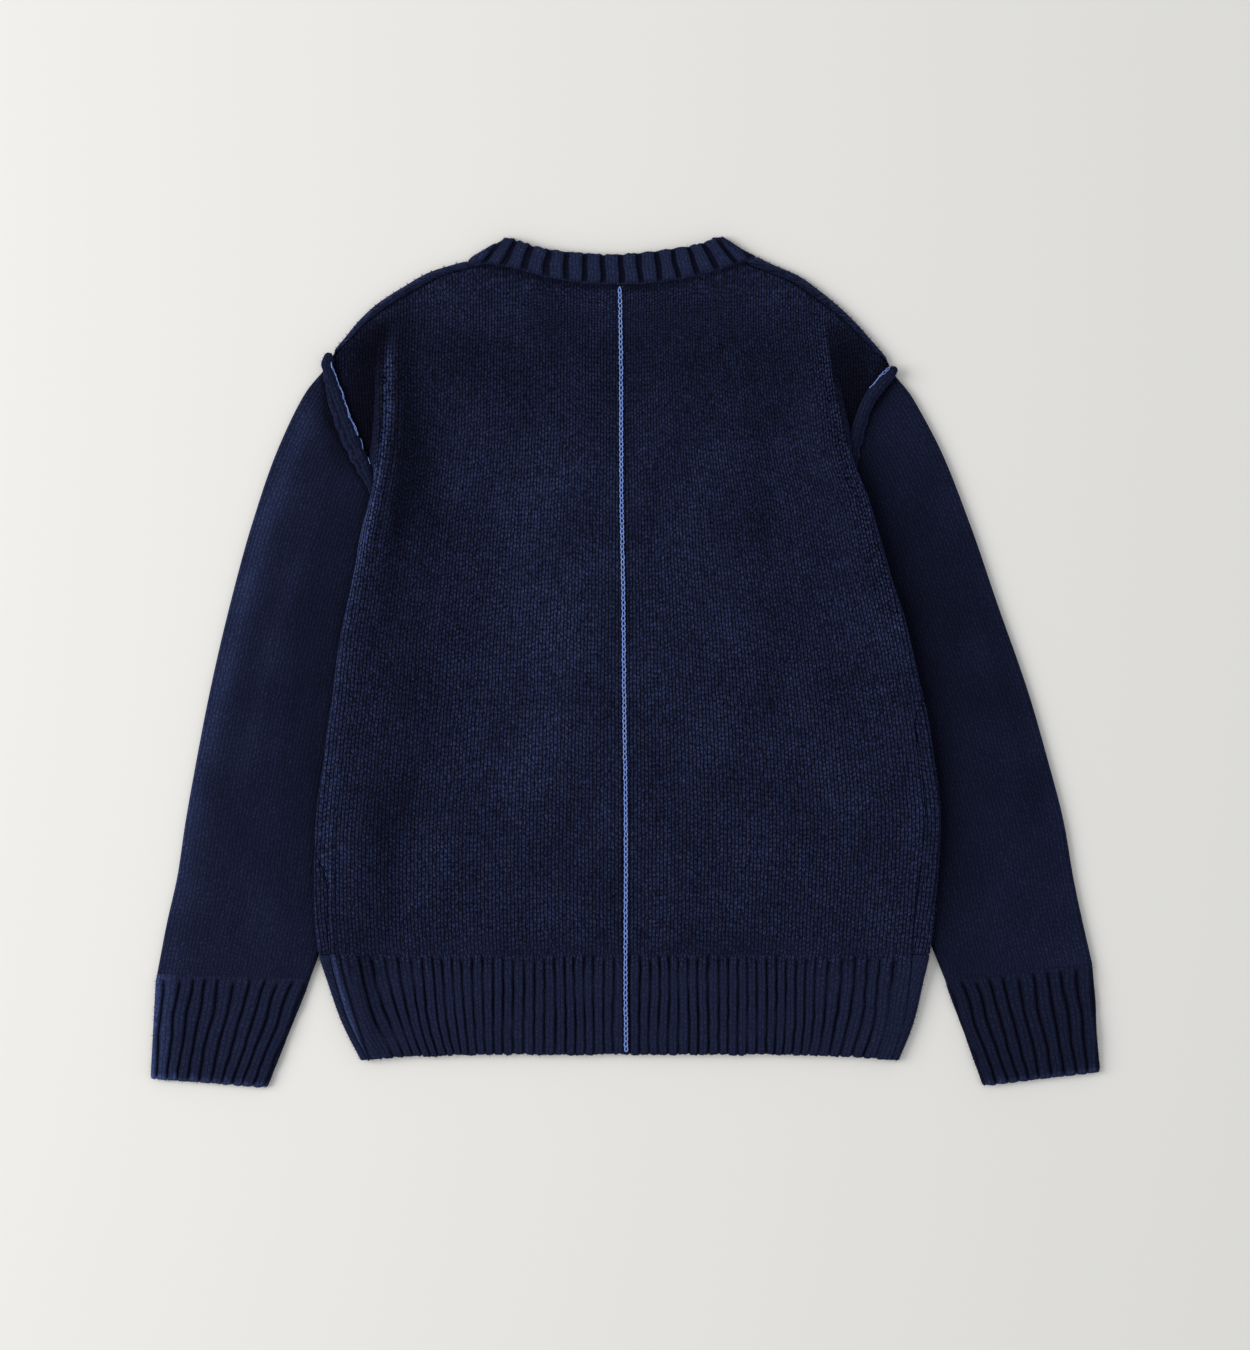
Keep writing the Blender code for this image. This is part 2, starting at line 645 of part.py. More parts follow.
def collar_fold(start, end, outward):
    # Half a round from one layer of the collar to the other, without its two ends.
    turn = np.linspace(np.pi / 2, -np.pi / 2, EDGE_SPANS + 1)[1:-1]
    radius = (BODY_TOP - HALF_WALL) / 2
    y = np.linspace(start[1], end[1], EDGE_SPANS + 1)[1:-1]
    across = start[0] + outward * radius * np.cos(turn)
    return np.stack([across, y, (BODY_TOP + HALF_WALL) / 2 + outward * radius * np.sin(turn)], axis=1)


def collar_grid():
    # A band round the neck, pressed flat: its back on top, its front on the surface.
    inset = (BODY_TOP + HALF_WALL) / 2 + 2 * SEAM_GAP
    count = COLLAR_RIBS * POINTS_PER_RIB + 1
    rings = []
    for part in np.linspace(0, 1, RIB_ROWS + 1):
        left, right = [
            np.array(NECK_POINT[side]) * (1 - part) + np.array(COLLAR_CORNER[side]) * part for side in SIGN
        ]
        across = np.linspace(left[0] + inset, right[0] - inset, count)
        seam = back_neckline(across) + COLLAR_GAP
        free = read(COLLAR_ROWS, COLLAR_COLUMNS, "x", "free", across)
        back = np.stack([across, seam + (free - seam) * part, np.full(count, BODY_TOP)], axis=1)
        front = collar_front(part, left, right, inset)
        rings.append(np.vstack([
            back, collar_fold(back[-1], front[0], 1), front, collar_fold(front[-1], back[0], -1),
        ]))
    return np.array(rings)


def ridge_seam(side, y):
    # The armhole seam beneath the allowance, carried on past the end of the shoulder.
    past_shoulder = max(y - SHOULDER_END_Y[side], 0)
    return np.array((armhole_line(side, y) + RIDGE_END_LEAN * past_shoulder, y))


def ridge_rings(side):
    # The turned-out allowance: a rounded bar that lies on the sleeve along the armhole.
    start_y = SHOULDER_END_Y[side] + RIDGE_PAST_SHOULDER
    turn = np.linspace(0, 2 * np.pi, RIDGE_SIDES, endpoint=False)
    round_top = 0.5 + 0.5 * np.clip(RIDGE_FLATNESS * np.sin(turn), -1, 1)
    rings = []
    for y in np.linspace(start_y, RIDGE_END_Y[side], RIDGE_ROWS):
        showing = step(y, RIDGE_END_Y[side], RIDGE_SHOWS_Y[side])
        height = RIDGE_HIDDEN_HEIGHT + (RIDGE_HEIGHT - RIDGE_HIDDEN_HEIGHT) * showing
        size = 1 - RIDGE_END_TAPER * step(y, start_y - 2 * RIDGE_PAST_SHOULDER, start_y)
        slope = armhole_line(side, y + 1) - armhole_line(side, y - 1)
        normal = np.array((2.0, -slope)) / np.hypot(2.0, slope)
        from_seam = RIDGE_WIDTH / 2 * (1 + size * np.cos(turn)) + 2 * SEAM_GAP
        place = ridge_seam(side, y) + normal * from_seam[:, None]
        z = LAYER_HEIGHT + SEAM_GAP + height * size * round_top
        rings.append(np.stack([SIGN[side] * place[:, 0], place[:, 1], z], axis=1))
    return np.array(rings)


def surface_normals(grid, closed):
    # Outward normals, with a closed grid wrapped round across its columns.
    if closed:
        across = np.roll(grid, -1, axis=1) - np.roll(grid, 1, axis=1)
    else:
        across = np.gradient(grid, axis=1)
    along = np.gradient(grid, axis=0)
    normals = np.cross(across, along)
    return normals / np.linalg.norm(normals, axis=2, keepdims=True)


def add_faces(mesh, corners, rows, columns, closed):
    last = columns if closed else columns - 1
    for row in range(rows - 1):
        for place in range(last):
            following = (place + 1) % columns
            mesh.faces.new((
                corners[row][place], corners[row][following],
                corners[row + 1][following], corners[row + 1][place],
            ))


def finish_object(name, mesh, colour):
    bmesh.ops.recalc_face_normals(mesh, faces=mesh.faces)
    data = bpy.data.meshes.new(name)
    mesh.to_mesh(data)
    mesh.free()
    data.shade_smooth()
    data.materials.append(knit_material(name, colour))
    made = bpy.data.objects.new(name, data)
    bpy.context.scene.collection.objects.link(made)
    return made


def knit_material(name, colour):
    material = bpy.data.materials.new(name + "_knit")
    material.use_nodes = True
    shader = material.node_tree.nodes["Principled BSDF"]
    shader.inputs["Base Color"].default_value = colour
    shader.inputs["Roughness"].default_value = 0.9
    shader.inputs["Metallic"].default_value = 0.0
    return material


def add_wall(name, grid, colour, closed=False, outward=1, relief=None):
    # A wall round its middle surface: outer face, inner face and the edges between them.
    rows, columns = grid.shape[:2]
    normals = surface_normals(grid, closed) * outward
    raised = np.zeros((rows, columns)) if relief is None else relief
    outer = (grid + normals * (HALF_WALL + raised)[:, :, None]) * METRES
    inner = (grid - normals * HALF_WALL) * METRES
    mesh = bmesh.new()
    faces = []
    for layer in (outer, inner):
        faces.append([[mesh.verts.new(point) for point in row] for row in layer])
        add_faces(mesh, faces[-1], rows, columns, closed)
    outer_corners, inner_corners = faces
    last = columns if closed else columns - 1
    for row in (0, rows - 1):
        for place in range(last):
            following = (place + 1) % columns
            mesh.faces.new((
                outer_corners[row][place], outer_corners[row][following],
                inner_corners[row][following], inner_corners[row][place],
            ))
    if not closed:
        for place in (0, columns - 1):
            for row in range(rows - 1):
                mesh.faces.new((
                    outer_corners[row][place], outer_corners[row + 1][place],
                    inner_corners[row + 1][place], inner_corners[row][place],
                ))
    return finish_object(name, mesh, colour)


def add_bar(name, rings, colour):
    mesh = bmesh.new()
    corners = [[mesh.verts.new(point) for point in ring * METRES] for ring in rings]
    add_faces(mesh, corners, len(rings), rings.shape[1], True)
    for ring in (corners[0], corners[-1]):
        mesh.faces.new(ring)
    return finish_object(name, mesh, colour)


def rib_relief(rows, columns, first, count):
    # Ribs on count points from the column first on, and none on the rest.
    relief = np.zeros((rows, columns))
    profile = np.resize(RIB_PROFILE, count)
    relief[:, first:first + count] = RIB_RELIEF * profile
    return relief


def add_body():
    for side in SIGN:
        add_wall("back_" + side, back_grid(side), NAVY, outward=-SIGN[side])
    add_wall("front", front_grid(), NAVY, outward=-1)


def add_hem():
    for side in SIGN:
        ribs = round(side_value(side, "edge", HEM_TOP) / HEM_RIB_PITCH)
        grid = hem_back_grid(side, ribs)
        relief = rib_relief(grid.shape[0], grid.shape[1], 0, grid.shape[1])
        add_wall("hem_back_" + side, grid, NAVY_RIB, outward=-SIGN[side], relief=relief)
    add_wall("hem_front", hem_front_grid(), NAVY_RIB)


def add_sleeves():
    for side in SIGN:
        add_wall("sleeve_" + side, sleeve_grid(side), NAVY, closed=True)
        grid = cuff_grid(side)
        relief = rib_relief(grid.shape[0], grid.shape[1], 0, CUFF_RIBS * POINTS_PER_RIB + 1)
        add_wall("cuff_" + side, grid, NAVY_RIB, closed=True, outward=-SIGN[side], relief=relief)
        add_bar("armhole_seam_" + side, ridge_rings(side), NAVY)


def add_collar():
    grid = collar_grid()
    relief = rib_relief(grid.shape[0], grid.shape[1], 0, COLLAR_RIBS * POINTS_PER_RIB + 1)
    add_wall("collar", grid, NAVY_RIB, closed=True, relief=relief)


def main():
    for old in list(bpy.data.objects):
        bpy.data.objects.remove(old, do_unlink=True)
    add_body()
    add_hem()
    add_sleeves()
    add_collar()


main()
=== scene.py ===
import bpy
import numpy as np
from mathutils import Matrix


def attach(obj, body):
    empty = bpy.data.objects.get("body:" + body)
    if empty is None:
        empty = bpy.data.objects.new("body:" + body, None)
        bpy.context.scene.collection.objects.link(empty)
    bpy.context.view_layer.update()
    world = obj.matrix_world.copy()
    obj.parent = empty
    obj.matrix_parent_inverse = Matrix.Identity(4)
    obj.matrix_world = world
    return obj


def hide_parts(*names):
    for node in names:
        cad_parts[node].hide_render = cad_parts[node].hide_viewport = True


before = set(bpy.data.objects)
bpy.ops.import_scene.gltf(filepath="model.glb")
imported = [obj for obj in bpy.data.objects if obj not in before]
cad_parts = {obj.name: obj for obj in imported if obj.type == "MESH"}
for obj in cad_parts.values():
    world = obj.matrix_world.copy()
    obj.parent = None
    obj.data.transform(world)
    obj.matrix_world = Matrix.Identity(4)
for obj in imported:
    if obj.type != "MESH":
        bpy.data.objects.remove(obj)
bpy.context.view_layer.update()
print("frame loaded, solids", len(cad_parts))

metres = 0.001
signOf = {"left": -1, "right": 1}

cloth = {
    "wall": 2.4,            # the knit, a little less where a rim rounds off
    "seamGap": 0.3,
    "rimAt": (0.0, 0.35, 1.1),      # from a rim inwards
    "rimHalf": (0.5, 0.95, 1.2),    # half the wall there
    "wale": 3.0,            # one column of stitches
    "course": 3.8,          # one row of stitches
}
halfWall = cloth["wall"] / 2

body = {
    "hemTop": -239.6,
    "hemBottom": -321.6,
    "top": 6.3,             # middle of the back's wall over the front alone
    "overSleeve": 11.4,     # the same with a sleeve between
    "centreSeam": -2.5,
    "underarm": {"left": 18.0, "right": 22.0},
    "shoulderEnd": {"left": 247.0, "right": 241.0},
    "foldStart": {"left": 156.0, "right": 172.0},
    "neckPoint": {"left": (-130.8, 328.0), "right": (108.5, 332.0)},
    "frontNeckDrop": 94.0,
    "neckInset": 8.0,
    "sleeveFrom": (-275, -200),     # y between which the back climbs on to the sleeve beneath it
    "sleeveTo": (110, 190),         # and off it again
    "climb": (54, 5),               # where that climb starts and ends, in from the sleeve's inner fold
    "roll": (46, 9),                # where the rise to the rolled edge starts and ends, in from the edge
    "edgeBand": 26,                 # the finer columns round the fold start this far in
    "ramp": (5, 18),                # from the sleeve's fold to the front's way down, and its length
    "hemCornerDrop": 5.0,
    "pocketDrop": {"left": 7.0, "right": 5.5},      # how wide the steep side of the pockets is
    # how dark the painted shade in the pockets is
    "pocketShade": {"left": 2.6, "right": 2.45},
    "rows": 165,
    "backSpans": (88, 70),
    "frontSpans": (52, 34),
    # y, edge of the fold, middle height of the upper and the lower layer there, side seam past the edge
    "side": {
        "left": (
            (-322, 217, 6.6, 1.2, 5), (-294, 232, 6.9, 1.2, 5), (-262, 244, 8.6, 3.6, 6),
            (-240, 251, 11.0, 7.0, 8), (-215, 254, 11.7, 7.7, 9), (-178, 255, 12.4, 7.7, 9),
            (-138, 254, 13.0, 7.7, -9), (-100, 250, 14.0, 7.7, -28), (-62, 245, 15.0, 7.7, -43),
            (-21, 239, 16.0, 7.7, -61), (18, 234, 16.8, 7.7, -80), (57, 226, 17.5, 7.7, -80),
            (100, 219, 18.2, 8.8, -80), (137, 211, 19.2, 12.4, -80), (159, 206, 19.2, 12.4, -80),
            (198, 201, 15.4, 12.4, -80), (247, 199, 9.4, 7.7, -80), (275, 197, 6.3, 7.7, -80),
            (333, 197, 6.3, 7.7, -80),
        ),
        "right": (
            (-322, 224, 6.6, 1.2, 5), (-294, 236, 6.9, 1.2, 7), (-262, 244, 8.6, 3.6, 10),
            (-240, 249, 11.0, 7.0, 13), (-215, 252, 11.7, 7.7, 15), (-171, 256, 12.4, 7.7, 14),
            (-126, 258, 12.8, 7.7, 12), (-82, 253, 13.2, 7.7, 10), (-38, 246, 14.0, 7.7, 5),
            (-8, 239, 15.2, 7.7, -30), (22, 232, 16.0, 7.7, -82), (60, 221, 16.8, 7.7, -82),
            (100, 209, 17.4, 8.8, -82), (133, 200, 18.2, 12.4, -82), (172, 184, 18.2, 12.4, -82),
            (200, 178, 15.0, 12.4, -82), (244, 170, 8.6, 7.7, -82), (272, 166, 6.3, 7.7, -82),
            (333, 166, 6.3, 7.7, -82),
        ),
    },
    "armhole": {            # y, distance of the seam from the centre
        "left": ((18, 154.6), (90, 181), (161, 208), (198, 224), (247, 241.5)),
        "right": ((22, 149.7), (90, 165.5), (150, 179), (190, 190), (222, 204), (241, 217.5)),
    },
    "shoulder": {           # y, outline, how far the front wraps over, slant of the outline
        "left": (
            (240, 246, 4, 1.2), (247, 244.5, 5, 1.3), (266, 230, 6.4, 1.4), (281, 217.5, 8.8, 1.6),
            (292, 205.5, 10.8, 1.8), (308, 181, 12.8, 2.0), (321, 156, 15, 2.4), (328, 131.5, 18, 2.6),
        ),
        "right": (
            (234, 225, 4, 1.2), (241, 220.5, 4, 1.3), (265, 200.5, 6, 1.4), (279, 188, 7, 1.6),
            (301, 163.5, 8, 1.7), (318, 139, 10, 1.9), (328, 116, 12, 2.2), (332, 109, 12, 2.2),
        ),
    },
}

def smoothBetween(knownAt, known, at):
    # a curve through known values with a continuous slope, level past its ends
    slopes = np.gradient(known, knownAt)
    at = np.clip(at, knownAt[0], knownAt[-1])
    span = np.clip(np.searchsorted(knownAt, at, side="right") - 1, 0, len(knownAt) - 2)
    width = knownAt[span + 1] - knownAt[span]
    part = (at - knownAt[span]) / width
    rise = part * part * (3 - 2 * part)
    level = known[span] * (1 - rise) + known[span + 1] * rise
    bendIn = slopes[span] * part * (1 - part) ** 2
    bendOut = slopes[span + 1] * part * part * (1 - part)
    return level + width * (bendIn - bendOut)


def fromTable(rows, place, at):
    table = np.array(rows, dtype=float)
    table = table[np.argsort(table[:, 0])]
    return smoothBetween(table[:, 0], table[:, place], np.asarray(at, dtype=float))


def step(value, start, end):
    # 0 before start, 1 past end, and a soft rise between them
    part = np.clip((value - start) / (end - start), 0, 1)
    return part * part * (3 - 2 * part)


def sideEdge(side, y):
    return float(fromTable(body["side"][side], 1, y))


def sideTop(side, y):
    return float(fromTable(body["side"][side], 2, y))


def sideUnder(side, y):
    return max(float(fromTable(body["side"][side], 3, y)), halfWall)


def sideSeam(side, y):
    return float(fromTable(body["side"][side], 4, y))


def armholeLine(side, y):
    return float(fromTable(body["armhole"][side], 1, y))


def sleeveInnerLine(side, y):
    # the underarm fold of the sleeve, beneath the body
    topX, topY = sleeve["underarmPoint"][side]
    lowX, lowY = cuff["top"][side][1]
    return topX + (lowX - topX) * (topY - y) / (topY - lowY)


def walk(line, measure, count):
    # points along a line with the same share of the measure between each two
    total = np.concatenate(([0.0], np.cumsum(measure)))
    wanted = np.linspace(0, total[-1], count)
    return np.stack([np.interp(wanted, total, line[:, k]) for k in (0, 1)], axis=1)


def evenly(line, count):
    return walk(line, np.linalg.norm(np.diff(line, axis=0), axis=1), count)


def spread(line, count, lengthForAPoint=9.0, turnForAPoint=np.radians(20.0)):
    # points along a line, closer together where it bends
    steps = np.diff(line, axis=0)
    if len(steps) < 2:
        return evenly(line, count)
    turns = np.abs(np.gradient(np.unwrap(np.arctan2(steps[:, 1], steps[:, 0]))))
    return walk(line, np.linalg.norm(steps, axis=1) / lengthForAPoint + turns / turnForAPoint, count)


def cutLine(line, run, start, end):
    # the part of a line between two values of run, which grows along it
    inside = (run > start + 0.05) & (run < end - 0.05)
    ends = [[np.interp(at, run, line[:, k]) for k in (0, 1)] for at in (start, end)]
    return np.vstack([ends[0], line[inside], ends[1]])


def withRims(line, atStart=True, atEnd=True):
    # extra points just inside the ends of a line, for the rounded rims
    def near(first, second):
        length = np.linalg.norm(second - first)
        return [first + (second - first) * min(d / length, 0.8) for d in cloth["rimAt"][1:]]
    parts = [line[:1]]
    parts += [near(line[0], line[1])] if atStart else []
    parts.append(line[1:-1])
    parts += [near(line[-1], line[-2])[::-1]] if atEnd else []
    return np.vstack(parts + [line[-1:]])


def rimHeights(start, end, count):
    # evenly spaced heights with extra ones just inside both ends
    toward = np.sign(end - start)
    inner = np.linspace(start, end, count)
    rims = [d * toward for d in cloth["rimAt"][1:]]
    return np.concatenate((
        [start], [start + d for d in rims], inner[1:-1], [end - d for d in rims[::-1]], [end]))


def backHeight(side, y, across):
    # middle height of the back's wall, from the centre out to its rolled edge
    inner = armholeLine(side, y) if y > body["underarm"][side] else sleeveInnerLine(side, y)
    sleeveBeneath = step(y, *body["sleeveFrom"]) * (1 - step(y, *body["sleeveTo"]))
    lifted = sleeveBeneath * step(across, *[inner - away for away in body["climb"]])
    height = body["top"] + (body["overSleeve"] - body["top"]) * lifted
    rolled = step(across, *[sideEdge(side, y) - away for away in body["roll"]])
    return height + (sideTop(side, y) - height) * rolled


def roundEdge(edge, top, under, slant=1.0):
    # the half round at a fold, from the top layer to the layer under it
    radius = (top - under) / 2
    turn = np.linspace(np.pi / 2, -np.pi / 2, 33)
    across = edge - radius * slant * (1 - np.cos(turn))
    return np.stack([across, (top + under) / 2 + radius * np.sin(turn)], axis=1), radius * slant


def rolledBack(side, y):
    edge = sideEdge(side, y) - halfWall
    arc, reach = roundEdge(edge, sideTop(side, y), sideUnder(side, y))
    across = np.linspace(0, edge - reach, 160)
    flat = np.stack([across, backHeight(side, y, across)], axis=1)
    return np.vstack([flat, arc[1:]]), edge, edge - reach


def runPastEdge(line, edge):
    # distance past the edge: minus on top of it, plus beneath
    return np.where(np.arange(len(line)) <= np.argmax(line[:, 0]), line[:, 0] - edge, edge - line[:, 0])


def bodyRing(side, y):
    # half of the body's cross-section, from the centre of the back to the middle of the front
    upper, edge, arcEnd = rolledBack(side, y)
    under = sideUnder(side, y)
    rampStart = min(sleeveInnerLine(side, y) - body["ramp"][0], arcEnd - cloth["wall"])
    rampEnd = rampStart - body["ramp"][1]
    across = np.concatenate((
        np.linspace(arcEnd, rampStart, 40)[1:], np.linspace(rampStart, rampEnd, 24)[1:],
        np.linspace(rampEnd, 0, 60)[1:]))
    height = halfWall + (under - halfWall) * step(across, rampEnd, rampStart)
    line = np.vstack([upper, np.stack([across, height], axis=1)])
    return line, runPastEdge(line, edge)


def backSectionLow(side, y):
    line, run = bodyRing(side, y)
    seam = -sideSeam(side, y) - cloth["seamGap"] / 2
    band = -body["edgeBand"]
    return cutLine(line, run, run[0], band), cutLine(line, run, band, seam)


def backSectionRolled(side, y):
    # beside the lower armhole: round the fold and back in beneath it
    upper, edge, arcEnd = rolledBack(side, y)
    seam = armholeLine(side, y) - cloth["seamGap"] / 2
    line = np.vstack([upper, [min(seam, arcEnd - halfWall), sideUnder(side, y)]])
    run = runPastEdge(line, edge)
    band = -body["edgeBand"]
    return cutLine(line, run, run[0], band), cutLine(line, run, band, max(edge - seam, cloth["seamGap"]))


def backSectionOpen(side, y):
    # beside the upper armhole and the shoulder: off the fold and down to the seam
    fold = sideEdge(side, y)
    emptied = step(y - body["foldStart"][side], -6, 16)
    pocket = body["overSleeve"] + (body["top"] - body["overSleeve"]) * emptied
    if y < body["shoulderEnd"][side]:
        end = armholeLine(side, y) - cloth["seamGap"] / 2
    else:
        end = float(fromTable(body["shoulder"][side], 1, y) - fromTable(body["shoulder"][side], 2, y))
    across = np.linspace(0, end, 300)
    start = min(fold - 1.5, end - 2 * cloth["wall"])
    fall = step(across, start, min(end, start + body["pocketDrop"][side]))
    height = backHeight(side, y, across)
    line = np.stack([across, height + (pocket - height) * fall], axis=1)
    split = min(fold - body["edgeBand"], end * 0.8)
    return cutLine(line, across, 0, split), cutLine(line, across, split, end)


def joinParts(parts, spans):
    first, second = [spread(part, count + 1) for part, count in zip(parts, spans)]
    return np.vstack([first, second[1:]])


def backSection(side, y):
    spans = body["backSpans"]
    if y <= body["underarm"][side]:
        return joinParts(backSectionLow(side, y), spans)
    opened = step(y - body["foldStart"][side], -6, 10)
    section = 0
    if opened < 1:
        section = section + (1 - opened) * joinParts(backSectionRolled(side, y), spans)
    if opened > 0:
        section = section + opened * joinParts(backSectionOpen(side, y), spans)
    return section


def frontSectionLow(side, y):
    line, run = bodyRing(side, y)
    seam = -sideSeam(side, y) + cloth["seamGap"] / 2
    split = max(seam, 6) + 6
    return cutLine(line, run, split, run[-1])[::-1], cutLine(line, run, seam, split)[::-1]


def frontSectionFlat(side, y):
    under = body["underarm"][side]
    end = armholeLine(side, y) - cloth["seamGap"] - 2.5 * (1 - step(y, under, under + 30))
    middle, corner, edge = (0, halfWall), (end - 12, halfWall), (end, halfWall)
    return np.array((middle, corner)), np.array((corner, edge))


def frontSectionWrapped(side, y):
    # above the armhole: round the shoulder's edge and onto the back
    outline, strip, slant = [float(fromTable(body["shoulder"][side], k, y)) for k in (1, 2, 3)]
    arc, reach = roundEdge(outline - halfWall, body["top"], halfWall, slant)
    arcEnd = outline - halfWall - reach
    stripEnd = min(outline - strip + 0.4 * slant, arcEnd - cloth["seamGap"])
    return np.array(((0, halfWall), (arcEnd, halfWall))), np.vstack([arc[::-1], (stripEnd, body["top"])])


def frontSection(side, y):
    spans = body["frontSpans"]
    lying = step(y - body["underarm"][side], 1, 18)
    wrapped = step(y - body["shoulderEnd"][side], 0, 12)
    section = 0
    if lying < 1:
        low = joinParts(frontSectionLow(side, min(y, body["underarm"][side])), spans)
        section = section + (1 - lying) * low
    if lying > 0 and wrapped < 1:
        section = section + lying * (1 - wrapped) * joinParts(frontSectionFlat(side, y), spans)
    if wrapped > 0:
        section = section + wrapped * joinParts(frontSectionWrapped(side, y), spans)
    return section


def backNeckline(across):
    return fromTable(collar["back"], 1, across)


def neckBase(across):
    (leftX, leftY), (rightX, rightY) = [body["neckPoint"][side] for side in signOf]
    return leftY + (rightY - leftY) * (across - leftX) / (rightX - leftX)


def frontDrop(across, depth):
    # how far the front's neckline hangs below the line between the two neck points
    leftX = body["neckPoint"]["left"][0] + body["neckInset"]
    rightX = body["neckPoint"]["right"][0] - body["neckInset"]
    part = (2 * across - leftX - rightX) / (rightX - leftX)
    return depth * np.clip(1 - part * part, 0, 1)


def sectionGrid(side, heights, cut):
    rows = []
    for y in heights:
        section = cut(side, y)
        rows.append(np.stack([signOf[side] * section[:, 0], np.full(len(section), y), section[:, 1]], axis=1))
    return np.array(rows)


def startAtCentreSeam(side, section):
    start = signOf[side] * body["centreSeam"] + cloth["seamGap"] / 2
    across = section[:, 0] + start * (1 - section[:, 0] / section[:, 0].max())
    return np.stack([across, section[:, 1]], axis=1)


def joinHalves(left, right):
    return np.concatenate((left[:, :0:-1], (left[:, :1] + right[:, :1]) / 2, right[:, 1:]), axis=1)


def alongRow(grid):
    lengths = np.linalg.norm(np.diff(grid, axis=1), axis=2)
    return np.concatenate((np.zeros((len(grid), 1)), np.cumsum(lengths, axis=1)), axis=1)


def alongColumn(grid):
    lengths = np.linalg.norm(np.diff(grid, axis=0), axis=2)
    return np.concatenate((np.zeros((1, grid.shape[1])), np.cumsum(lengths, axis=0)))


fadeAtEnds = (0.16, 0.28)       # past a crease's end and before it, as shares of its length


def bandsAlongLines(x, y, rows):
    # soft bands along given lines, fading out at their ends: ridges and troughs of relief, painted light and
    # painted shade, or stronger stitches
    beyond, before = fadeAtEnds
    relief = np.zeros_like(x)
    for width, height, line, *fadesOver in rows:
        points = np.array(line, dtype=float)
        up = int(np.ptp(points[:, 1]) > np.ptp(points[:, 0]))
        run, across = (y, x) if up else (x, y)
        points = points[np.argsort(points[:, up])]
        away = across - smoothBetween(points[:, up], points[:, 1 - up], run)
        place = (run - points[0, up]) / np.ptp(points[:, up])
        fade = step(place, -beyond, before) * (1 - step(place, 1 - before, 1 + beyond))
        for lowest, highest in fadesOver:
            fade *= 1 - step(y, lowest, highest)
        relief += height * np.exp(-(away / width) ** 2) * fade
    return relief


def unevenness(x, y, seed, size):
    # a smooth random field about as coarse as size, between about -1 and 1
    dice = np.random.default_rng(seed)
    field = np.zeros_like(x)
    for _ in range(9):
        turn, phase = dice.uniform(0, 2 * np.pi, 2)
        wave = dice.uniform(0.6, 1.5) * 2 * np.pi / size
        field += np.sin(wave * (x * np.cos(turn) + y * np.sin(turn)) + phase)
    return field / 4.2


def unevenAcross(x, seed, size):
    # the same, but even along y
    return unevenness(x, np.zeros_like(x), seed, size)


def cellCorners(table):
    # the four corners of each cell of a grid, in order round the cell
    corners = (table[:-1, :-1], table[:-1, 1:], table[1:, 1:], table[1:, :-1])
    return np.stack(corners, axis=2).reshape(-1, 4, *table.shape[2:])


def clothShell(name, grid, knit, outward, closed=False, relief=0.0, inside=0.0, rims=(True, True, True),
               tone=0.0, marks=0.0):
    # a shell of knit round its middle surface; knit is (wale, course) a point, rims says which borders
    # are rounded: first row, last row, both sides
    rows, columns = grid.shape[:2]
    if closed:
        across = np.roll(grid, -1, axis=1) - np.roll(grid, 1, axis=1)
    else:
        across = np.gradient(grid, axis=1)
    normals = np.cross(across, np.gradient(grid, axis=0))
    normals *= outward / np.maximum(np.linalg.norm(normals, axis=2, keepdims=True), 1e-9)
    half = np.full((rows, columns), cloth["rimHalf"][-1])
    for place, size in enumerate(cloth["rimHalf"][:-1]):
        if rims[0]:
            half[place] = np.minimum(half[place], size)
        if rims[1]:
            half[-1 - place] = np.minimum(half[-1 - place], size)
        if rims[2] and not closed:
            half[:, [place, -1 - place]] = np.minimum(half[:, [place, -1 - place]], size)
    outer = grid + normals * (half + relief)[:, :, None]
    inner = grid - normals * (half - inside)[:, :, None]
    points = np.concatenate((outer.reshape(-1, 3), inner.reshape(-1, 3))) * metres
    count = rows * columns
    number = np.arange(count).reshape(rows, columns)
    if closed:
        number = np.concatenate((number, number[:, :1]), axis=1)
        knit = np.concatenate((knit, knit[:, :1]), axis=1)
    quads, places = cellCorners(number), cellCorners(knit)
    forward, backward = slice(None), slice(None, None, -1)
    turn, turnBack = (forward, backward) if outward > 0 else (backward, forward)
    faces = [quads[:, turn], quads[:, turnBack] + count]
    maps = [places[:, turn], places[:, turnBack]]
    borders = [(number[0], knit[0]), (number[-1, ::-1], knit[-1, ::-1])]
    if not closed:
        borders += [(number[::-1, 0], knit[::-1, 0]), (number[:, -1], knit[:, -1])]
    for border, place in borders:
        rim = np.stack([border[1:], border[:-1], border[:-1] + count, border[1:] + count], axis=1)
        rimPlace = np.stack([place[1:], place[:-1], place[:-1], place[1:]], axis=1)
        faces.append(rim[:, turn])
        maps.append(rimPlace[:, turn])
    values = [np.tile(np.broadcast_to(value, (rows, columns)).ravel(), 2) for value in (tone, marks)]
    return meshPiece(name, points, np.concatenate(faces).tolist(), np.concatenate(maps), *values)


def meshPiece(name, points, faces, maps, tone=None, marks=None):
    mesh = bpy.data.meshes.new(name)
    mesh.from_pydata(points.tolist(), [], faces)
    layer = mesh.uv_layers.new(name="knit")
    layer.uv.foreach_set("vector", maps.astype(np.float32).ravel())
    for label, values in (("tone", tone), ("marks", marks)):
        if values is not None:
            attribute = mesh.attributes.new(label, "FLOAT", "POINT")
            attribute.data.foreach_set("value", np.asarray(values, dtype=np.float32))
    mesh.shade_smooth()
    mesh.validate()
    piece = bpy.data.objects.new(name, mesh)
    bpy.context.scene.collection.objects.link(piece)
    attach(piece, "root")
    return piece
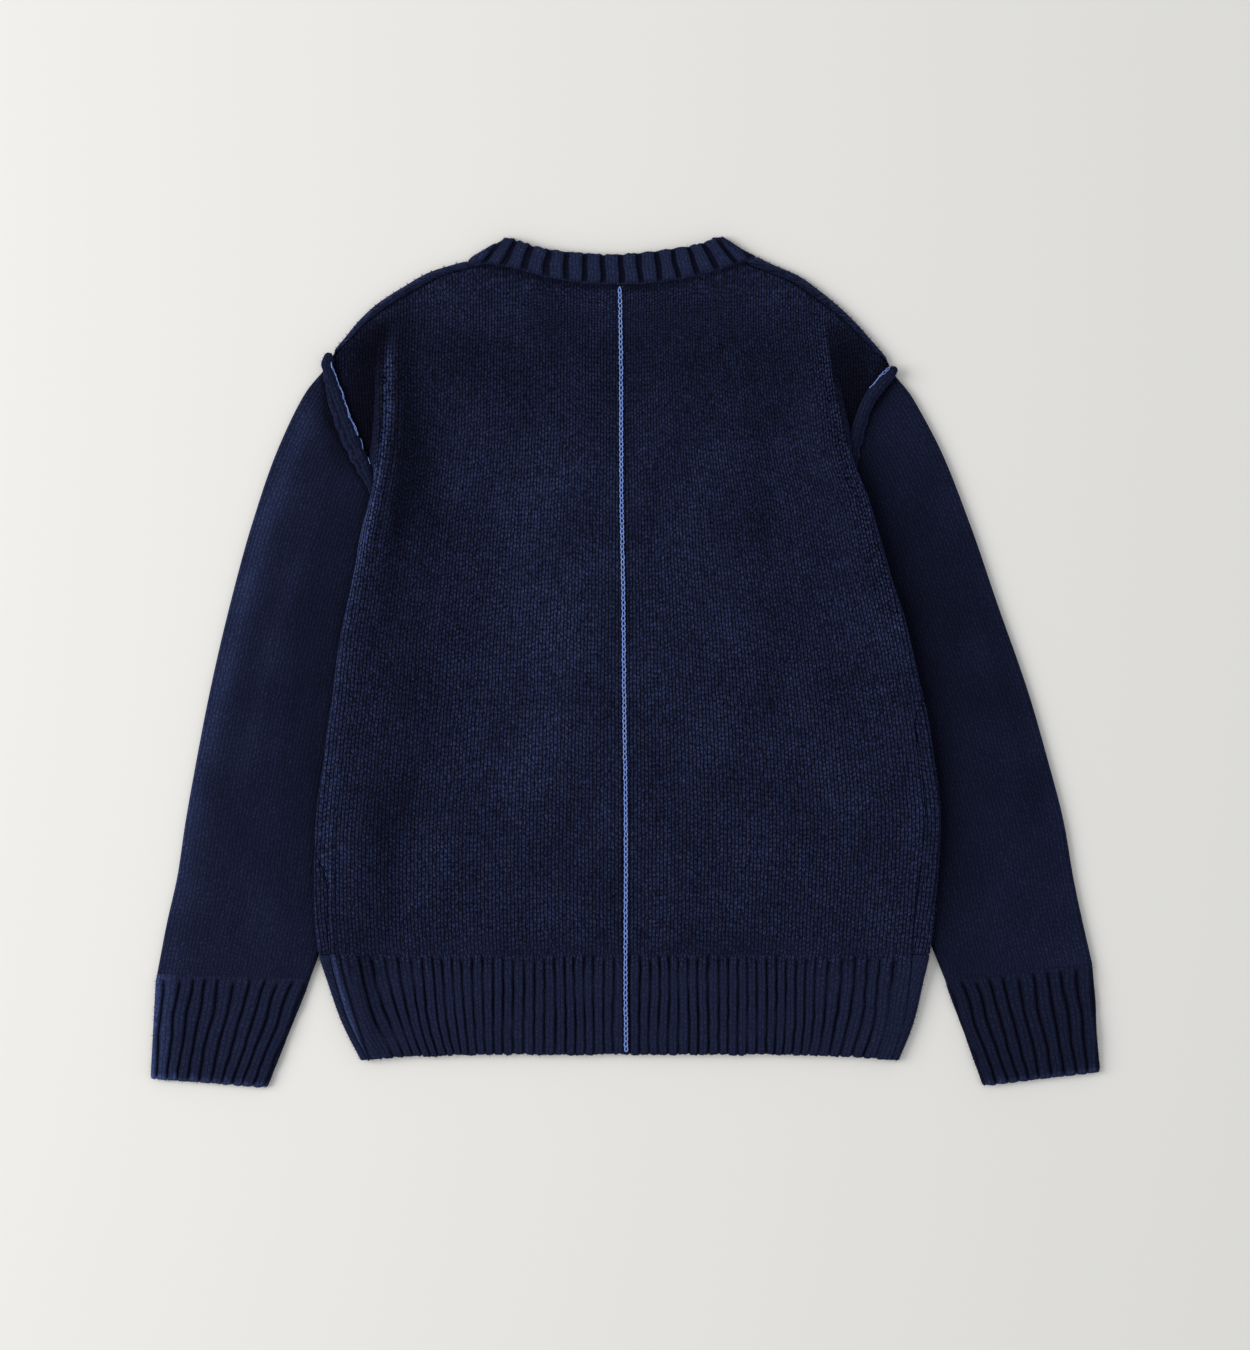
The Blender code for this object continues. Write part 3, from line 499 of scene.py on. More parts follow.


# The body

# Soft ridges and troughs of the laid cloth, and bands of painted light and painted shade on it, each row given
# as: width, height, line and, where it ends sharply, the two y it fades between. A crease's height is in
# millimetres. A painted band's
# is in halvings of its brightness: painted light makes the cloth look lighter, painted shade darker.
back = {
    "creases": (
        (4.6, 3.6, ((-197, 300), (-196, 256), (-195.5, 207), (-201, 166), (-208, 133), (-223, 50)), (244, 280)),
        (7, -2.4, ((-185, 290), (-184, 240), (-183, 200), (-187, 150), (-196, 90))),
        (15, -1.9, ((-178, 120), (-170, 60), (-178, -40), (-200, -170))),
        (36, 2.0, ((-110, 175), (-75, 120), (-92, 10), (-98, -120))),
        (38, 1.6, ((30, 180), (52, 60), (40, -60), (58, -160))),
        (13, -1.5, ((98, 270), (104, 180), (112, 60), (118, -40))),
        (20, 1.4, ((134, 240), (150, 120), (176, 0), (196, -110))),
        (7, 2.4, ((158, 300), (163, 250), (170, 215), (177, 180), (190, 140), (206, 90))),
        (12, -1.1, ((-120, 282), (-70, 262), (-20, 272))),
        (12, -1.0, ((20, 276), (70, 262), (98, 284))),
        (13, 1.2, ((-160, 262), (-120, 236), (-92, 200))),
        (18, -0.8, ((-30, 60), (-14, 0), (-34, -90))),
        (9, 1.3, ((-230, -60), (-236, -150), (-232, -225))),
        (11, -1.6, ((-212, -100), (-206, -170), (-206, -225))),
        (12, -1.2, ((196, -60), (214, -130), (212, -210))),
        (20, -0.7, ((-60, -150), (20, -170), (110, -150))),
    ),
    # bands of painted light and painted shade along the folds and the crest
    "paintedShading": (
        (5, 2.2, ((-197, 300), (-196, 230), (-196, 207), (-202, 166), (-211, 120), (-228, 50)), (238, 272)),
        (1.1, -1.2, ((-194.7, 290), (-194.7, 207), (-197.6, 182), (-201.3, 165), (-207.9, 133), (-216, 90)),
         (240, 262)),
        (1.1, -1.2, ((-190.6, 290), (-190.6, 207), (-193, 182), (-196.4, 165), (-203, 133), (-211, 90)),
         (240, 262)),
        (1.4, -1.3, ((-186.4, 290), (-186.4, 207), (-188.6, 182), (-191.5, 165), (-198, 133), (-206, 90)),
         (245, 268)),
        (9, -0.9, ((-208, 250), (-200, 268), (-192, 284))),
        (4, 0.5, ((-226, 262), (-205, 284), (-176, 304), (-140, 318))),
        (9, -1.0, ((-183, 300), (-182, 240), (-181, 190), (-186, 140), (-194, 60))),
        (7, 0.6, ((-236, 10), (-240, -80), (-244, -160), (-242, -260))),
        (1.4, -0.9, ((-236, -100), (-238, -160), (-236, -300))),
        (21, -0.6, ((-168, 285), (-170, 200), (-172, 80), (-190, -60), (-204, -180), (-200, -236))),
        (42, 0.42, ((-75, 200), (-68, 90), (-72, -20), (-86, -130))),
        (46, 0.2, ((48, 190), (52, 80), (46, -60))),
        (17, -0.3, ((96, 290), (102, 190), (112, 60), (118, -60))),
        (34, -0.45, ((-190, 268), (-100, 246), (0, 252), (90, 246), (160, 268))),
        (15, -0.3, ((-110, 262), (-92, 236), (-84, 210))),
        (6, 0.15, ((226, 60), (244, -60), (248, -180), (240, -240))),
        (26, -0.2, ((-215, -215), (0, -226), (215, -215))),
    ),
    # where the stitches stand out more than elsewhere, or less
    "clearWales": (
        (8, 0.9, ((-197, 300), (-196, 230), (-196, 207), (-202, 166), (-211, 120), (-228, 50)), (238, 272)),
        (11, 0.7, ((158, 310), (164, 250), (170, 210), (182, 160), (200, 110), (222, 30))),
        (9, -0.3, ((-260, -236), (0, -236), (260, -236))),
    ),
    # strength, seed and size of the random unevenness
    "unevenRelief": ((0.5, 4, 70), (0.22, 7, 24)),
    "unevenTone": ((0.22, 12, 90), (0.12, 13, 30)),
    "neckFrom": 255,        # the rows start to dip towards the neckline here
    "flatAtHem": 25,        # the creases rise over this length above the hem
    "flatAtNeck": (330, 40),
}


def bodyKnit(side, grid, heights):
    # wales fan out a little with the body's width; courses lie level
    edges = np.array([sideEdge(side, y) for y in heights])
    pitch = cloth["wale"] * (1 + 0.8 * (edges / 250 - 1))
    return np.stack([alongRow(grid) / pitch[:, None], grid[:, :, 1] / cloth["course"]], axis=2)


def manyUneven(x, y, rows):
    return sum(strength * unevenness(x, y, seed, size) for strength, seed, size in rows)


def makeBack(side):
    heights = rimHeights(body["hemTop"] + 0.02, body["neckPoint"][side][1], body["rows"])
    grid = sectionGrid(side, heights, lambda side, y: withRims(startAtCentreSeam(side, backSection(side, y))))
    knit = bodyKnit(side, grid, heights)
    dip = heights[-1] - backNeckline(grid[-1, :, 0])
    grid[:, :, 1] -= step(heights, back["neckFrom"], heights[-1])[:, None] * dip
    x, y = grid[:, :, 0], grid[:, :, 1]
    along = alongRow(grid)
    past = along[:, -1:] - along
    edges = np.array([sideEdge(side, height) for height in heights])[:, None]
    showing = step(edges + 20 - along, 0, 20)
    relief = bandsAlongLines(x, y, back["creases"]) * showing * step(past, 0, 10)
    relief += manyUneven(x, y, back["unevenRelief"])
    neck, reach = back["flatAtNeck"]
    relief *= step(y, body["hemTop"], body["hemTop"] + back["flatAtHem"]) * step(neck - y, 0, reach)
    # painted light and painted shade in bands and in the pocket, with random tone and dark seam lines
    tone = bandsAlongLines(x, y, back["paintedShading"]) + manyUneven(x, y, back["unevenTone"])
    tone += pocketShade(side, grid) + seamTone(side, grid, past)
    return clothShell("back_" + side + "_panel", grid, knit, -signOf[side], relief=relief, inside=relief,
                      tone=tone, marks=bandsAlongLines(x, y, back["clearWales"]), rims=(False, True, True))


def pocketShade(side, grid):
    # painted shade in the pocket between the fold and the armhole seam
    x, y = np.abs(grid[:, :, 0]), grid[:, :, 1]
    past = x - fromTable(body["side"][side], 1, y)
    inPocket = step(past, -2.8, -0.2) * (1 - 0.5 * step(past, 14, 34))
    begins = step(y, body["foldStart"][side] - 12, body["foldStart"][side])
    return -body["pocketShade"][side] * inPocket * begins * (1 - step(y, 248, 288))


def onShoulder(side, y):
    return step(y, body["shoulderEnd"][side] + 6, body["shoulderEnd"][side] + 22)


def seamTone(side, grid, past):
    # dark lines where the shoulder and the neck are sewn, with small stitches beside the neck's
    x, y = grid[:, :, 0], grid[:, :, 1]
    below = backNeckline(x) - y
    stitches = 0.5 * unevenness(x, y, 42, 5) * np.exp(-(below / 6) ** 2)
    shoulderLine = 1.5 * (1 - step(past, 0.4, 2.4)) * onShoulder(side, y)
    return stitches - shoulderLine - 1.3 * np.exp(-((below - 2.2) / 2.4) ** 2)


def makeFront():
    halves, knits, tones = [], [], []
    for side in signOf:
        heights = rimHeights(body["hemTop"] + 0.5, body["neckPoint"][side][1], body["rows"])
        grid = sectionGrid(side, heights, lambda side, y: withRims(frontSection(side, y), atStart=False))
        knit = bodyKnit(side, grid, heights)
        knit[:, :, 0] *= signOf[side]
        across = grid[-1, :, 0]
        onFloor = np.arange(len(across)) <= body["frontSpans"][0]
        low = neckBase(across) - frontDrop(across, body["frontNeckDrop"])
        dip = heights[-1] - np.where(onFloor, low, backNeckline(across))
        bendLow, bendHigh = [step(heights, start, heights[-1])[:, None] for start in (40, back["neckFrom"])]
        grid[:, :, 1] -= np.where(onFloor, bendLow, bendHigh) * dip
        along = alongRow(grid)
        seam = 1.6 * (1 - step(along[:, -1:] - along, 0.3, 1.8))
        tones.append((onShoulder(side, grid[:, :, 1]) * (0.35 - seam))[:, :, None])
        halves.append(grid)
        knits.append(knit)
    tone = joinHalves(*tones)[:, :, 0]
    return clothShell("front_panel", joinHalves(*halves), joinHalves(*knits), -1, tone=tone)


# The ribs

def ribProfile(phase, groove=0.19, soft=0.12):
    # 1 along a rib's broad top and 0 in the bottom of the groove, which takes up that share of the pitch
    away = np.abs((phase % 1.0) - 0.5) * 2
    return 1 - 0.88 * step(away, 1 - groove - soft, 1 - groove + 2 * soft) - 0.12 * away ** 2


def ribRelief(rib, sizes):
    # over the wall's own face, and never so deep that the groove cuts through the wall
    return np.clip(rib * (sizes["height"] + sizes["depth"]) - sizes["depth"], -0.95, 2)


def unevenPhase(count, seed, amount=0.11, wider=0.0):
    # ribs of slightly different widths, wider toward the last, as a curve from even to uneven places
    dice = np.random.default_rng(seed)
    widths = 1 + dice.uniform(-amount, amount, count)
    widths *= 1 + wider * step(np.arange(count), count - 10, count - 4)
    edges = np.concatenate(([0], np.cumsum(widths)))
    return np.arange(count + 1), edges * count / edges[-1]


hem = {
    "pitch": 9.3,
    "widerAtSide": 0.3,
    "height": 1.2,
    "depth": 1.1,           # of the grooves below the wall's own face
    "pointsPerRib": 18,
    "rows": 34,
    "crowdFrom": 0.45,      # the ribs hang straight this far out, then crowd towards the corner
    "plainEdge": (10, 16),  # no grooves this near the side
    "scallop": 1.0,         # how far each rib's end hangs past the grooves
    # how dark the painted shade in the grooves is
    "grooveShade": 1.5,
    "frontSpans": (40, 24),
    "walesPerRib": 3,
    "marks": 1.6,           # the stitches run on from the panel into the top of the rib
    "marksTo": 0.2,
    # bands of painted light and painted shade along the left corner
    "paintedShading": (
        (4, 1.5, ((-245, -205), (-238.5, -253), (-231, -277), (-222.5, -302), (-210, -340))),
        (1.3, -2.2, ((-240, -205), (-232, -253), (-225.5, -277), (-218, -302), (-205, -340))),
        (2.4, 0.5, ((-236, -205), (-228, -253), (-221.5, -277), (-214, -302), (-201, -340))),
        (1.2, -1.1, ((-249, -205), (-242.5, -253), (-235, -277), (-225, -302), (-212, -340))),
        (11, -0.45, ((-212, -225), (-212, -280), (-202, -326))),
    ),
}


def hemHalf(side, cut):
    heights = rimHeights(body["hemTop"], body["hemBottom"], hem["rows"])
    grid = sectionGrid(side, heights, cut)
    towardsEnd = ((heights - heights[0]) / (heights[-1] - heights[0]))[:, None]
    towardsCorner = np.abs(grid[:, :, 0]) / np.abs(grid[:, :, 0]).max(axis=1, keepdims=True)
    grid[:, :, 1] -= body["hemCornerDrop"] * towardsEnd * towardsCorner ** 6
    return grid, towardsEnd


def makeHemBack(side):
    ribs = round(sideEdge(side, body["hemTop"]) / hem["pitch"])
    count = ribs * hem["pointsPerRib"] + 1
    grid, towardsEnd = hemHalf(side, lambda side, y: withRims(
        startAtCentreSeam(side, evenly(np.vstack(backSectionLow(side, y)), count))))
    x, y = grid[:, :, 0], grid[:, :, 1]
    total = alongRow(grid)
    length = total[:, -1:]
    straight = total + (length[0] - length) * step(total / length, hem["crowdFrom"], 1.0)
    even, uneven = unevenPhase(ribs, 11 + signOf[side], wider=hem["widerAtSide"])
    phase = np.interp(straight / length[0] * ribs, uneven, even) + 0.25
    phase += 0.10 * unevenness(x, y, 3, 60) + 0.035 * unevenness(x, y, 6, 17)
    rib = ribProfile(phase)
    begins = step(towardsEnd - 0.03 - 0.035 * unevenAcross(x, 14, 22), -0.03, 0.03)
    deep = np.clip(0.85 + 0.4 * unevenness(x, y, 43, 40), 0.3, 1.2)
    deep *= step(np.abs(x).max(axis=1, keepdims=True) - np.abs(x), *hem["plainEdge"])
    relief = begins * deep * (rib * (hem["height"] + hem["depth"]) - hem["depth"])
    relief = np.clip(relief, -1.0, 2) * step(towardsEnd[::-1], 0, 0.04) * step(towardsEnd, 0, 0.02)
    bumps = rib - 0.5 + 0.8 * unevenAcross(x, 9, 25) + 0.45 * unevenAcross(x, 44, 6)
    y -= towardsEnd ** 8 * hem["scallop"] * bumps
    knit = np.stack([phase * hem["walesPerRib"] + 0.5, -alongColumn(grid) / cloth["course"]], axis=2)
    marks = hem["marks"] * (1 - step(towardsEnd - 0.05 * unevenAcross(x, 51, 16), 0.0, hem["marksTo"]))
    # painted shade in the grooves and painted light and shade in bands, with the stitches' marks a little
    # darker
    grooves = hem["grooveShade"] * begins * deep * (1 - rib)
    tone = bandsAlongLines(x, y, hem["paintedShading"]) - grooves - 0.22 * marks
    return clothShell("hem_back_" + side + "_rib", grid, knit, -signOf[side], relief=relief, tone=tone,
                      marks=marks, rims=(False, True, True))


def makeHemFront():
    # its ribs lie against the surface, so they are finished plainly
    halves, knits = [], []
    for side in signOf:
        grid, _ = hemHalf(side, lambda side, y: withRims(
            joinParts(frontSectionLow(side, y), hem["frontSpans"]), atStart=False))
        knits.append(np.stack([
            signOf[side] * alongRow(grid) / cloth["wale"], -alongColumn(grid) / cloth["course"]], axis=2))
        halves.append(grid)
    return clothShell("hem_front_rib", joinHalves(*halves), joinHalves(*knits), 1)


# The sleeves

sleeve = {
    "underarmPoint": {"left": (154.6, 18.0), "right": (149.7, 22.0)},
    "layer": 6.0,           # two walls and the air between them
    "crown": 2.6,
    "deepest": -2.4,        # no crease goes deeper
    "rings": 130,
    "faceSpans": 70,
    "edgeSpans": 12,
    # y, distance of the free edge from the centre
    "outer": {
        "left": (
            (247, 245.5), (215, 266), (182, 282), (116, 305.5), (51, 323.5), (-31, 342.5),
            (-80, 352), (-130, 361), (-179, 368.5), (-212, 376), (-256, 384.5),
        ),
        "right": (
            (241, 221), (215, 236.5), (182, 254.5), (116, 281.5), (51, 304), (-31, 332.5),
            (-80, 346.5), (-130, 359.5), (-179, 368), (-212, 375), (-247, 383),
        ),
    },
    "creases": {
        "left": (
            (7, 1.2, ((262, 96), (292, -10), (312, -110))),
            (9, -1.0, ((285, 70), (312, -30), (330, -140))),
            (9, -1.0, ((240, 120), (262, 10), (280, -120))),
            (9, 0.9, ((300, -150), (322, -200), (330, -240))),
        ),
        "right": (
            (12, -1.0, ((252, 100), (290, -20), (322, -140))),
            (9, 0.9, ((276, 80), (316, -60), (342, -170))),
            (9, 0.8, ((290, -150), (312, -196), (330, -236))),
        ),
    },
    # bands of painted light and painted shade: the lit outer edge, the ridge's shadow, the shadow beside the
    # body
    "paintedShading": {
        "left": (
            (11, 1.1, ((236, 246), (258, 208), (296, 116), (315, 51), (336, -31), (360, -130), (370, -212),
             (376, -256))),
            (9, -0.8, ((254, 222), (244, 200), (238, 180), (230, 150))),
            (2.5, -1.3, ((252, 262), (248, 231), (243, 198), (230, 174), (219, 154), (206, 130))),
            (9, 0.3, ((262, 96), (292, -10), (312, -110))),
            (20, -0.5, ((232, 140), (246, 60), (262, -40), (262, -200))),
            (16, -0.25, ((280, 70), (310, -60), (326, -190))),
        ),
        "right": (
            (30, -1.1, ((196, 190), (226, 100), (250, 0), (262, -120), (272, -240))),
            (2.4, -1.3, ((232, 250), (223.5, 234), (215.5, 225), (205.5, 210), (194, 195), (190, 182),
             (184, 160))),
            (26, -0.45, ((262, 130), (296, 40), (322, -70), (345, -180))),
            (9, 0.15, ((232, 205), (272, 130), (300, 51), (330, -31), (358, -130), (374, -235))),
        ),
    },
}

cuff = {
    "top": {"left": ((384.5, -256.0), (259.0, -260.0)), "right": ((383.0, -247.0), (262.5, -261.5))},
    "end": {"left": ((389.0, -341.5), (294.6, -348.8)), "right": ((389.0, -336.0), (294.0, -347.4))},
    "overlap": 0.02,        # no gap shows below the sleeve, which is knitted in one with it
    "ribs": 10,             # on its upper face
    "pointsPerRib": 18,
    "edgeSpans": 12,
    "rings": 34,
    "height": 1.2,
    "depth": 1.1,
    "walesPerRib": 3,
    # how dark the painted shade in the grooves is, and a painted shade over the whole face, deeper on the right
    # cuff
    "grooveShade": 1.9,
    "tone": {"left": -0.1, "right": -0.5},
    "edgeHighlight": {"left": 1.5, "right": 0.3},       # painted light along the free edge, mostly on the left
    "edgeWidth": {"left": 14, "right": 8},
    "frayed": 1.4,          # how much lighter the last rows are
}


def tubeRing(outer, inner, faceSpans, edgeSpans, layer):
    # a flattened tube's middle ring between its two edges, top first from the inner edge
    outer, inner = np.array(outer), np.array(inner)
    width = np.linalg.norm(outer - inner)
    radius = layer / 2 - halfWall
    margin = (radius + halfWall) / width
    face = np.linspace(margin, 1 - margin, faceSpans + 1)
    turn = np.linspace(np.pi / 2, -np.pi / 2, edgeSpans + 1)[1:-1]
    part = np.concatenate((
        face, 1 - margin + radius / width * np.cos(turn), face[::-1], margin - radius / width * np.cos(turn)))
    height = np.concatenate((
        np.full(faceSpans + 1, layer - halfWall), layer / 2 + radius * np.sin(turn),
        np.full(faceSpans + 1, halfWall), layer / 2 - radius * np.sin(turn)))
    return np.concatenate((inner + part[:, None] * (outer - inner), height[:, None]), axis=1)


def sleeveKnit(side, grid):
    # wales run parallel to the free edge, and courses square to them
    rows = sleeve["outer"][side]
    x, y = np.abs(grid[:, :, 0]), grid[:, :, 1]
    slope = (fromTable(rows, 1, y + 6) - fromTable(rows, 1, y - 6)) / 12
    known = np.linspace(-270, 260, 500)
    outline = fromTable(rows, 1, known)
    lengths = np.concatenate(([0], np.cumsum(np.hypot(np.diff(outline), np.diff(known)))))
    inside = fromTable(rows, 1, y) - x
    lean = np.hypot(1, slope)
    beneath = np.where(np.arange(grid.shape[1]) > sleeve["faceSpans"] + sleeve["edgeSpans"] / 2, -1, 1)
    wale = beneath * inside / lean / cloth["wale"]
    course = (np.interp(y, known, lengths) - inside * slope / lean) / cloth["course"]
    return np.stack([wale, course], axis=2)


def makeSleeve(side):
    shoulderY = body["shoulderEnd"][side] - cloth["seamGap"]
    cuffY = cuff["top"][side][0][1]
    inner = np.array(sleeve["underarmPoint"][side]) + (0.5, -0.5)
    parts = np.linspace(0, 1, sleeve["rings"]) ** 1.15
    rimParts = np.array(cloth["rimAt"][1:]) / (shoulderY - cuffY)
    parts = np.concatenate(([0], rimParts, parts[1:-1], 1 - rimParts[::-1], [1]))
    rings = []
    for part in parts:
        height = shoulderY + (cuffY - shoulderY) * part
        outer = (float(fromTable(sleeve["outer"][side], 1, height)), height)
        low = inner + (np.array(cuff["top"][side][1]) - inner) * part
        rings.append(tubeRing(outer, low, sleeve["faceSpans"], sleeve["edgeSpans"], sleeve["layer"]))
    grid = np.array(rings)
    x, y = grid[:, :, 0], grid[:, :, 1]
    seam = np.array([armholeLine(side, height) for height in y[0]])
    x += step(0.05 - parts, 0, 0.05)[:, None] * (seam + 0.5 - x[0])
    knit = sleeveKnit(side, grid)
    face = np.arange(grid.shape[1]) <= sleeve["faceSpans"]
    pastBody = x - fromTable(body["side"][side], 1, y)
    inside = fromTable(sleeve["outer"][side], 1, y) - x
    ends = (1 - step(y, 90, 190)) * step(y, -250, -190)
    swell = sleeve["crown"] * step(pastBody, 8, 40) * step(inside, 0, 40) * ends
    folds = bandsAlongLines(x, y, sleeve["creases"][side])
    folds += 0.35 * unevenness(x, y, 21 + signOf[side], 60) + 0.18 * unevenness(x, y, 25, 22)
    folds *= step(pastBody, -4, 12) * step(inside, 2, 16) * step(y, cuffY, cuffY + 20)
    grid[:, :, 2] += face * (swell + np.maximum(folds * (1 - step(y, 225, 245)), sleeve["deepest"]))
    # painted light and painted shade in bands, with random tone
    tone = bandsAlongLines(x, y, sleeve["paintedShading"][side]) + 0.2 * unevenness(x, y, 15, 60)
    x *= signOf[side]
    return clothShell("sleeve_" + side + "_tube", grid, knit, signOf[side], closed=True, tone=tone,
                      rims=(True, False, True))


def makeCuff(side):
    (outerTop, innerTop), (outerEnd, innerEnd) = [
        [np.array(point) for point in cuff[key][side]] for key in ("top", "end")]
    shift = np.array((0, -cuff["overlap"]))
    length = np.linalg.norm(outerEnd - outerTop)
    parts = rimHeights(0, length, cuff["rings"]) / length
    faceSpans = cuff["ribs"] * cuff["pointsPerRib"]
    rings = []
    for part in parts:
        outer = outerTop + shift + (outerEnd - outerTop - shift) * part
        inner = innerTop + shift + (innerEnd - innerTop - shift) * part
        rings.append(tubeRing(outer, inner, faceSpans, cuff["edgeSpans"], sleeve["layer"]))
    grid = np.array(rings)
    parts = parts[:, None]
    x, y = grid[:, :, 0], grid[:, :, 1]
    lengths = np.linalg.norm(np.roll(grid, -1, axis=1) - grid, axis=2)
    around = np.cumsum(lengths, axis=1) - lengths
    ribs = 2 * cuff["ribs"] + 1
    even, uneven = unevenPhase(ribs, 31 + signOf[side])
    phase = np.interp(around / lengths.sum(axis=1, keepdims=True) * ribs, uneven, even) + 0.1
    phase += 0.09 * unevenness(x, y, 16, 50) + 0.03 * unevenness(x, y, 17, 15)
    rib = ribProfile(phase)
    onTop = step(grid[:, :, 2], 2.0, 4.2)
    fromEdge = x.max(axis=1, keepdims=True) - x
    begins = step(parts - 0.04 - 0.035 * unevenAcross(x, 45, 18), -0.03, 0.04) * step(1 - parts, 0, 0.03)
    relief = begins * onTop * ribRelief(rib, cuff)
    y -= parts ** 8 * (0.9 * (rib - 0.5) + 0.45 * unevenAcross(x, 46, 6))
    x *= signOf[side]
    knit = np.stack([phase * cuff["walesPerRib"] + 0.5, -alongColumn(grid) / cloth["course"]], axis=2)
    # painted light along the free edge, painted shade in the grooves and over the right cuff, and lighter
    # frayed last rows
    edge = np.exp(-(fromEdge / cuff["edgeWidth"][side]) ** 2) * cuff["edgeHighlight"][side]
    frayed = cuff["frayed"] * step(parts + 0.02 * unevenAcross(x, 52, 12), 0.93, 0.98)
    tone = onTop * (cuff["tone"][side] + edge + frayed - cuff["grooveShade"] * begins * (1 - rib))
    return clothShell("cuff_" + side + "_rib", grid, knit, -signOf[side], closed=True, relief=relief, tone=tone,
                      rims=(False, True, True))


# The collar

collar = {
    "corner": {"left": (-99.5, 346.6), "right": (79.5, 347.2)},
    "deep": 24,             # from the seam to the free edge
    "drop": 86.0,
    "crown": 0.8,
    "columns": 321,
    "frontSpans": 110,
    "edgeSpans": 12,
    "rings": 18,
    "height": 1.3,
    "depth": 1.0,
    "walesPerRib": 5,
    "groove": 0.33,
    "soft": 0.08,
    "tone": 0.4,
    # how dark the painted shade in the grooves is
    "grooveShade": 1.9,
    "seamWidth": 0.09,      # of the dark line along the seam, as a share of the depth
    # x of each rib's middle, at the seam and at the free edge
    "ribsAt": (
        (-140, -113), (-124.8, -104.3), (-109.7, -95.4), (-92.7, -83.8), (-74.9, -69.4), (-56.4, -55.1),
        (-40.3, -40.7), (-25.7, -26.1), (-10.2, -11.3), (5.7, 2.6), (21.2, 18.0), (36.5, 32.4), (52.2, 45.0),
        (67.9, 57.0), (85.0, 69.3), (98.0, 81.6), (110, 91), (125, 101),
    ),
    # x, seam, free edge
    "back": (
        (-131, 328.0, 347.0), (-111, 325.8, 347.0), (-91, 322.4, 346.0), (-70, 316.6, 339.8),
        (-45, 311.8, 336.0), (-4, 309.2, 334.0), (20, 310.2, 336.2), (53, 315.0, 341.0),
        (78, 321.6, 347.4), (98, 328.4, 348.0), (109, 332.0, 348.0),
    ),
}


def collarFront(part, left, right, inset):
    # the front of the collar, from right to left, hung beneath the line between its ends
    neck = body["neckInset"]
    innerEnds = (right[0] - neck, left[0] + neck)
    across = np.concatenate((
        [right[0] - inset], np.linspace(*innerEnds, collar["frontSpans"] - 1), [left[0] + inset]))
    onBody = (body["neckPoint"]["right"][0] - neck, body["neckPoint"]["left"][0] + neck)
    share = np.clip((across - innerEnds[0]) / (innerEnds[1] - innerEnds[0]), 0, 1)
    depth = body["frontNeckDrop"] + (collar["drop"] - body["frontNeckDrop"]) * part
    level = left[1] + (right[1] - left[1]) * (across - left[0]) / (right[0] - left[0])
    y = level + 1.5 - frontDrop(onBody[0] + (onBody[1] - onBody[0]) * share, depth)
    return np.stack([across, y, np.full(len(across), halfWall)], axis=1)


def collarPhase(grid, parts):
    # which rib a point is on: whole numbers are grooves
    phases = []
    for row, part in zip(grid, parts):
        middles = [atSeam * (1 - part) + atEdge * part for atSeam, atEdge in collar["ribsAt"]]
        phases.append(np.interp(row[:, 0], middles, np.arange(len(middles))) + 0.5)
    return np.array(phases)


def collarFold(start, end, outward):
    turn = np.linspace(np.pi / 2, -np.pi / 2, collar["edgeSpans"] + 1)[1:-1]
    radius = (body["top"] - halfWall) / 2
    y = np.linspace(start[1], end[1], collar["edgeSpans"] + 1)[1:-1]
    across = start[0] + outward * radius * np.cos(turn)
    return np.stack([across, y, (body["top"] + halfWall) / 2 + outward * radius * np.sin(turn)], axis=1)


def makeCollar():
    inset = (body["top"] + halfWall) / 2 + 2 * cloth["seamGap"]
    parts = rimHeights(0, collar["deep"], collar["rings"]) / collar["deep"]
    rings = []
    for part in parts:
        left, right = [
            np.array(body["neckPoint"][side]) * (1 - part) + np.array(collar["corner"][side]) * part
            for side in signOf]
        across = np.linspace(left[0] + inset, right[0] - inset, collar["columns"])
        seam = backNeckline(across) - cloth["seamGap"]
        free = fromTable(collar["back"], 2, across)
        height = np.full(collar["columns"], body["top"] + collar["crown"] * np.sin(np.pi * part))
        upper = np.stack([across, seam + (free - seam) * part, height], axis=1)
        lower = collarFront(part, left, right, inset)
        folds = collarFold(upper[-1], lower[0], 1), collarFold(lower[-1], upper[0], -1)
        rings.append(np.vstack([upper, folds[0], lower, folds[1]]))
    grid = np.array(rings)
    x, y = grid[:, :, 0], grid[:, :, 1]
    phase = collarPhase(grid, parts) + 0.04 * unevenness(x, y, 47, 20)
    parts = parts[:, None]
    rib = ribProfile(phase, collar["groove"], collar["soft"])
    onTop = step(grid[:, :, 2], 2.0, 4.6)
    begins = step(parts, 0.02, 0.14) * step(1 - parts, 0, 0.08)
    relief = begins * onTop * ribRelief(rib, collar)
    y += onTop * parts ** 6 * (0.7 * (rib - 0.5) + 0.5 * unevenAcross(x, 48, 6))
    knit = np.stack([phase * collar["walesPerRib"] + 0.5, alongColumn(grid) / cloth["course"]], axis=2)
    seam = np.exp(-(parts / collar["seamWidth"]) ** 2) * (0.7 + 0.5 * unevenAcross(x, 49, 5))
    # painted shade in the grooves, with a dark line along the seam
    tone = onTop * (collar["tone"] - seam - collar["grooveShade"] * begins * (1 - rib))
    return clothShell("collar_rib", grid, knit, 1, closed=True, relief=relief, tone=tone)


# The turned-out allowance along the armholes

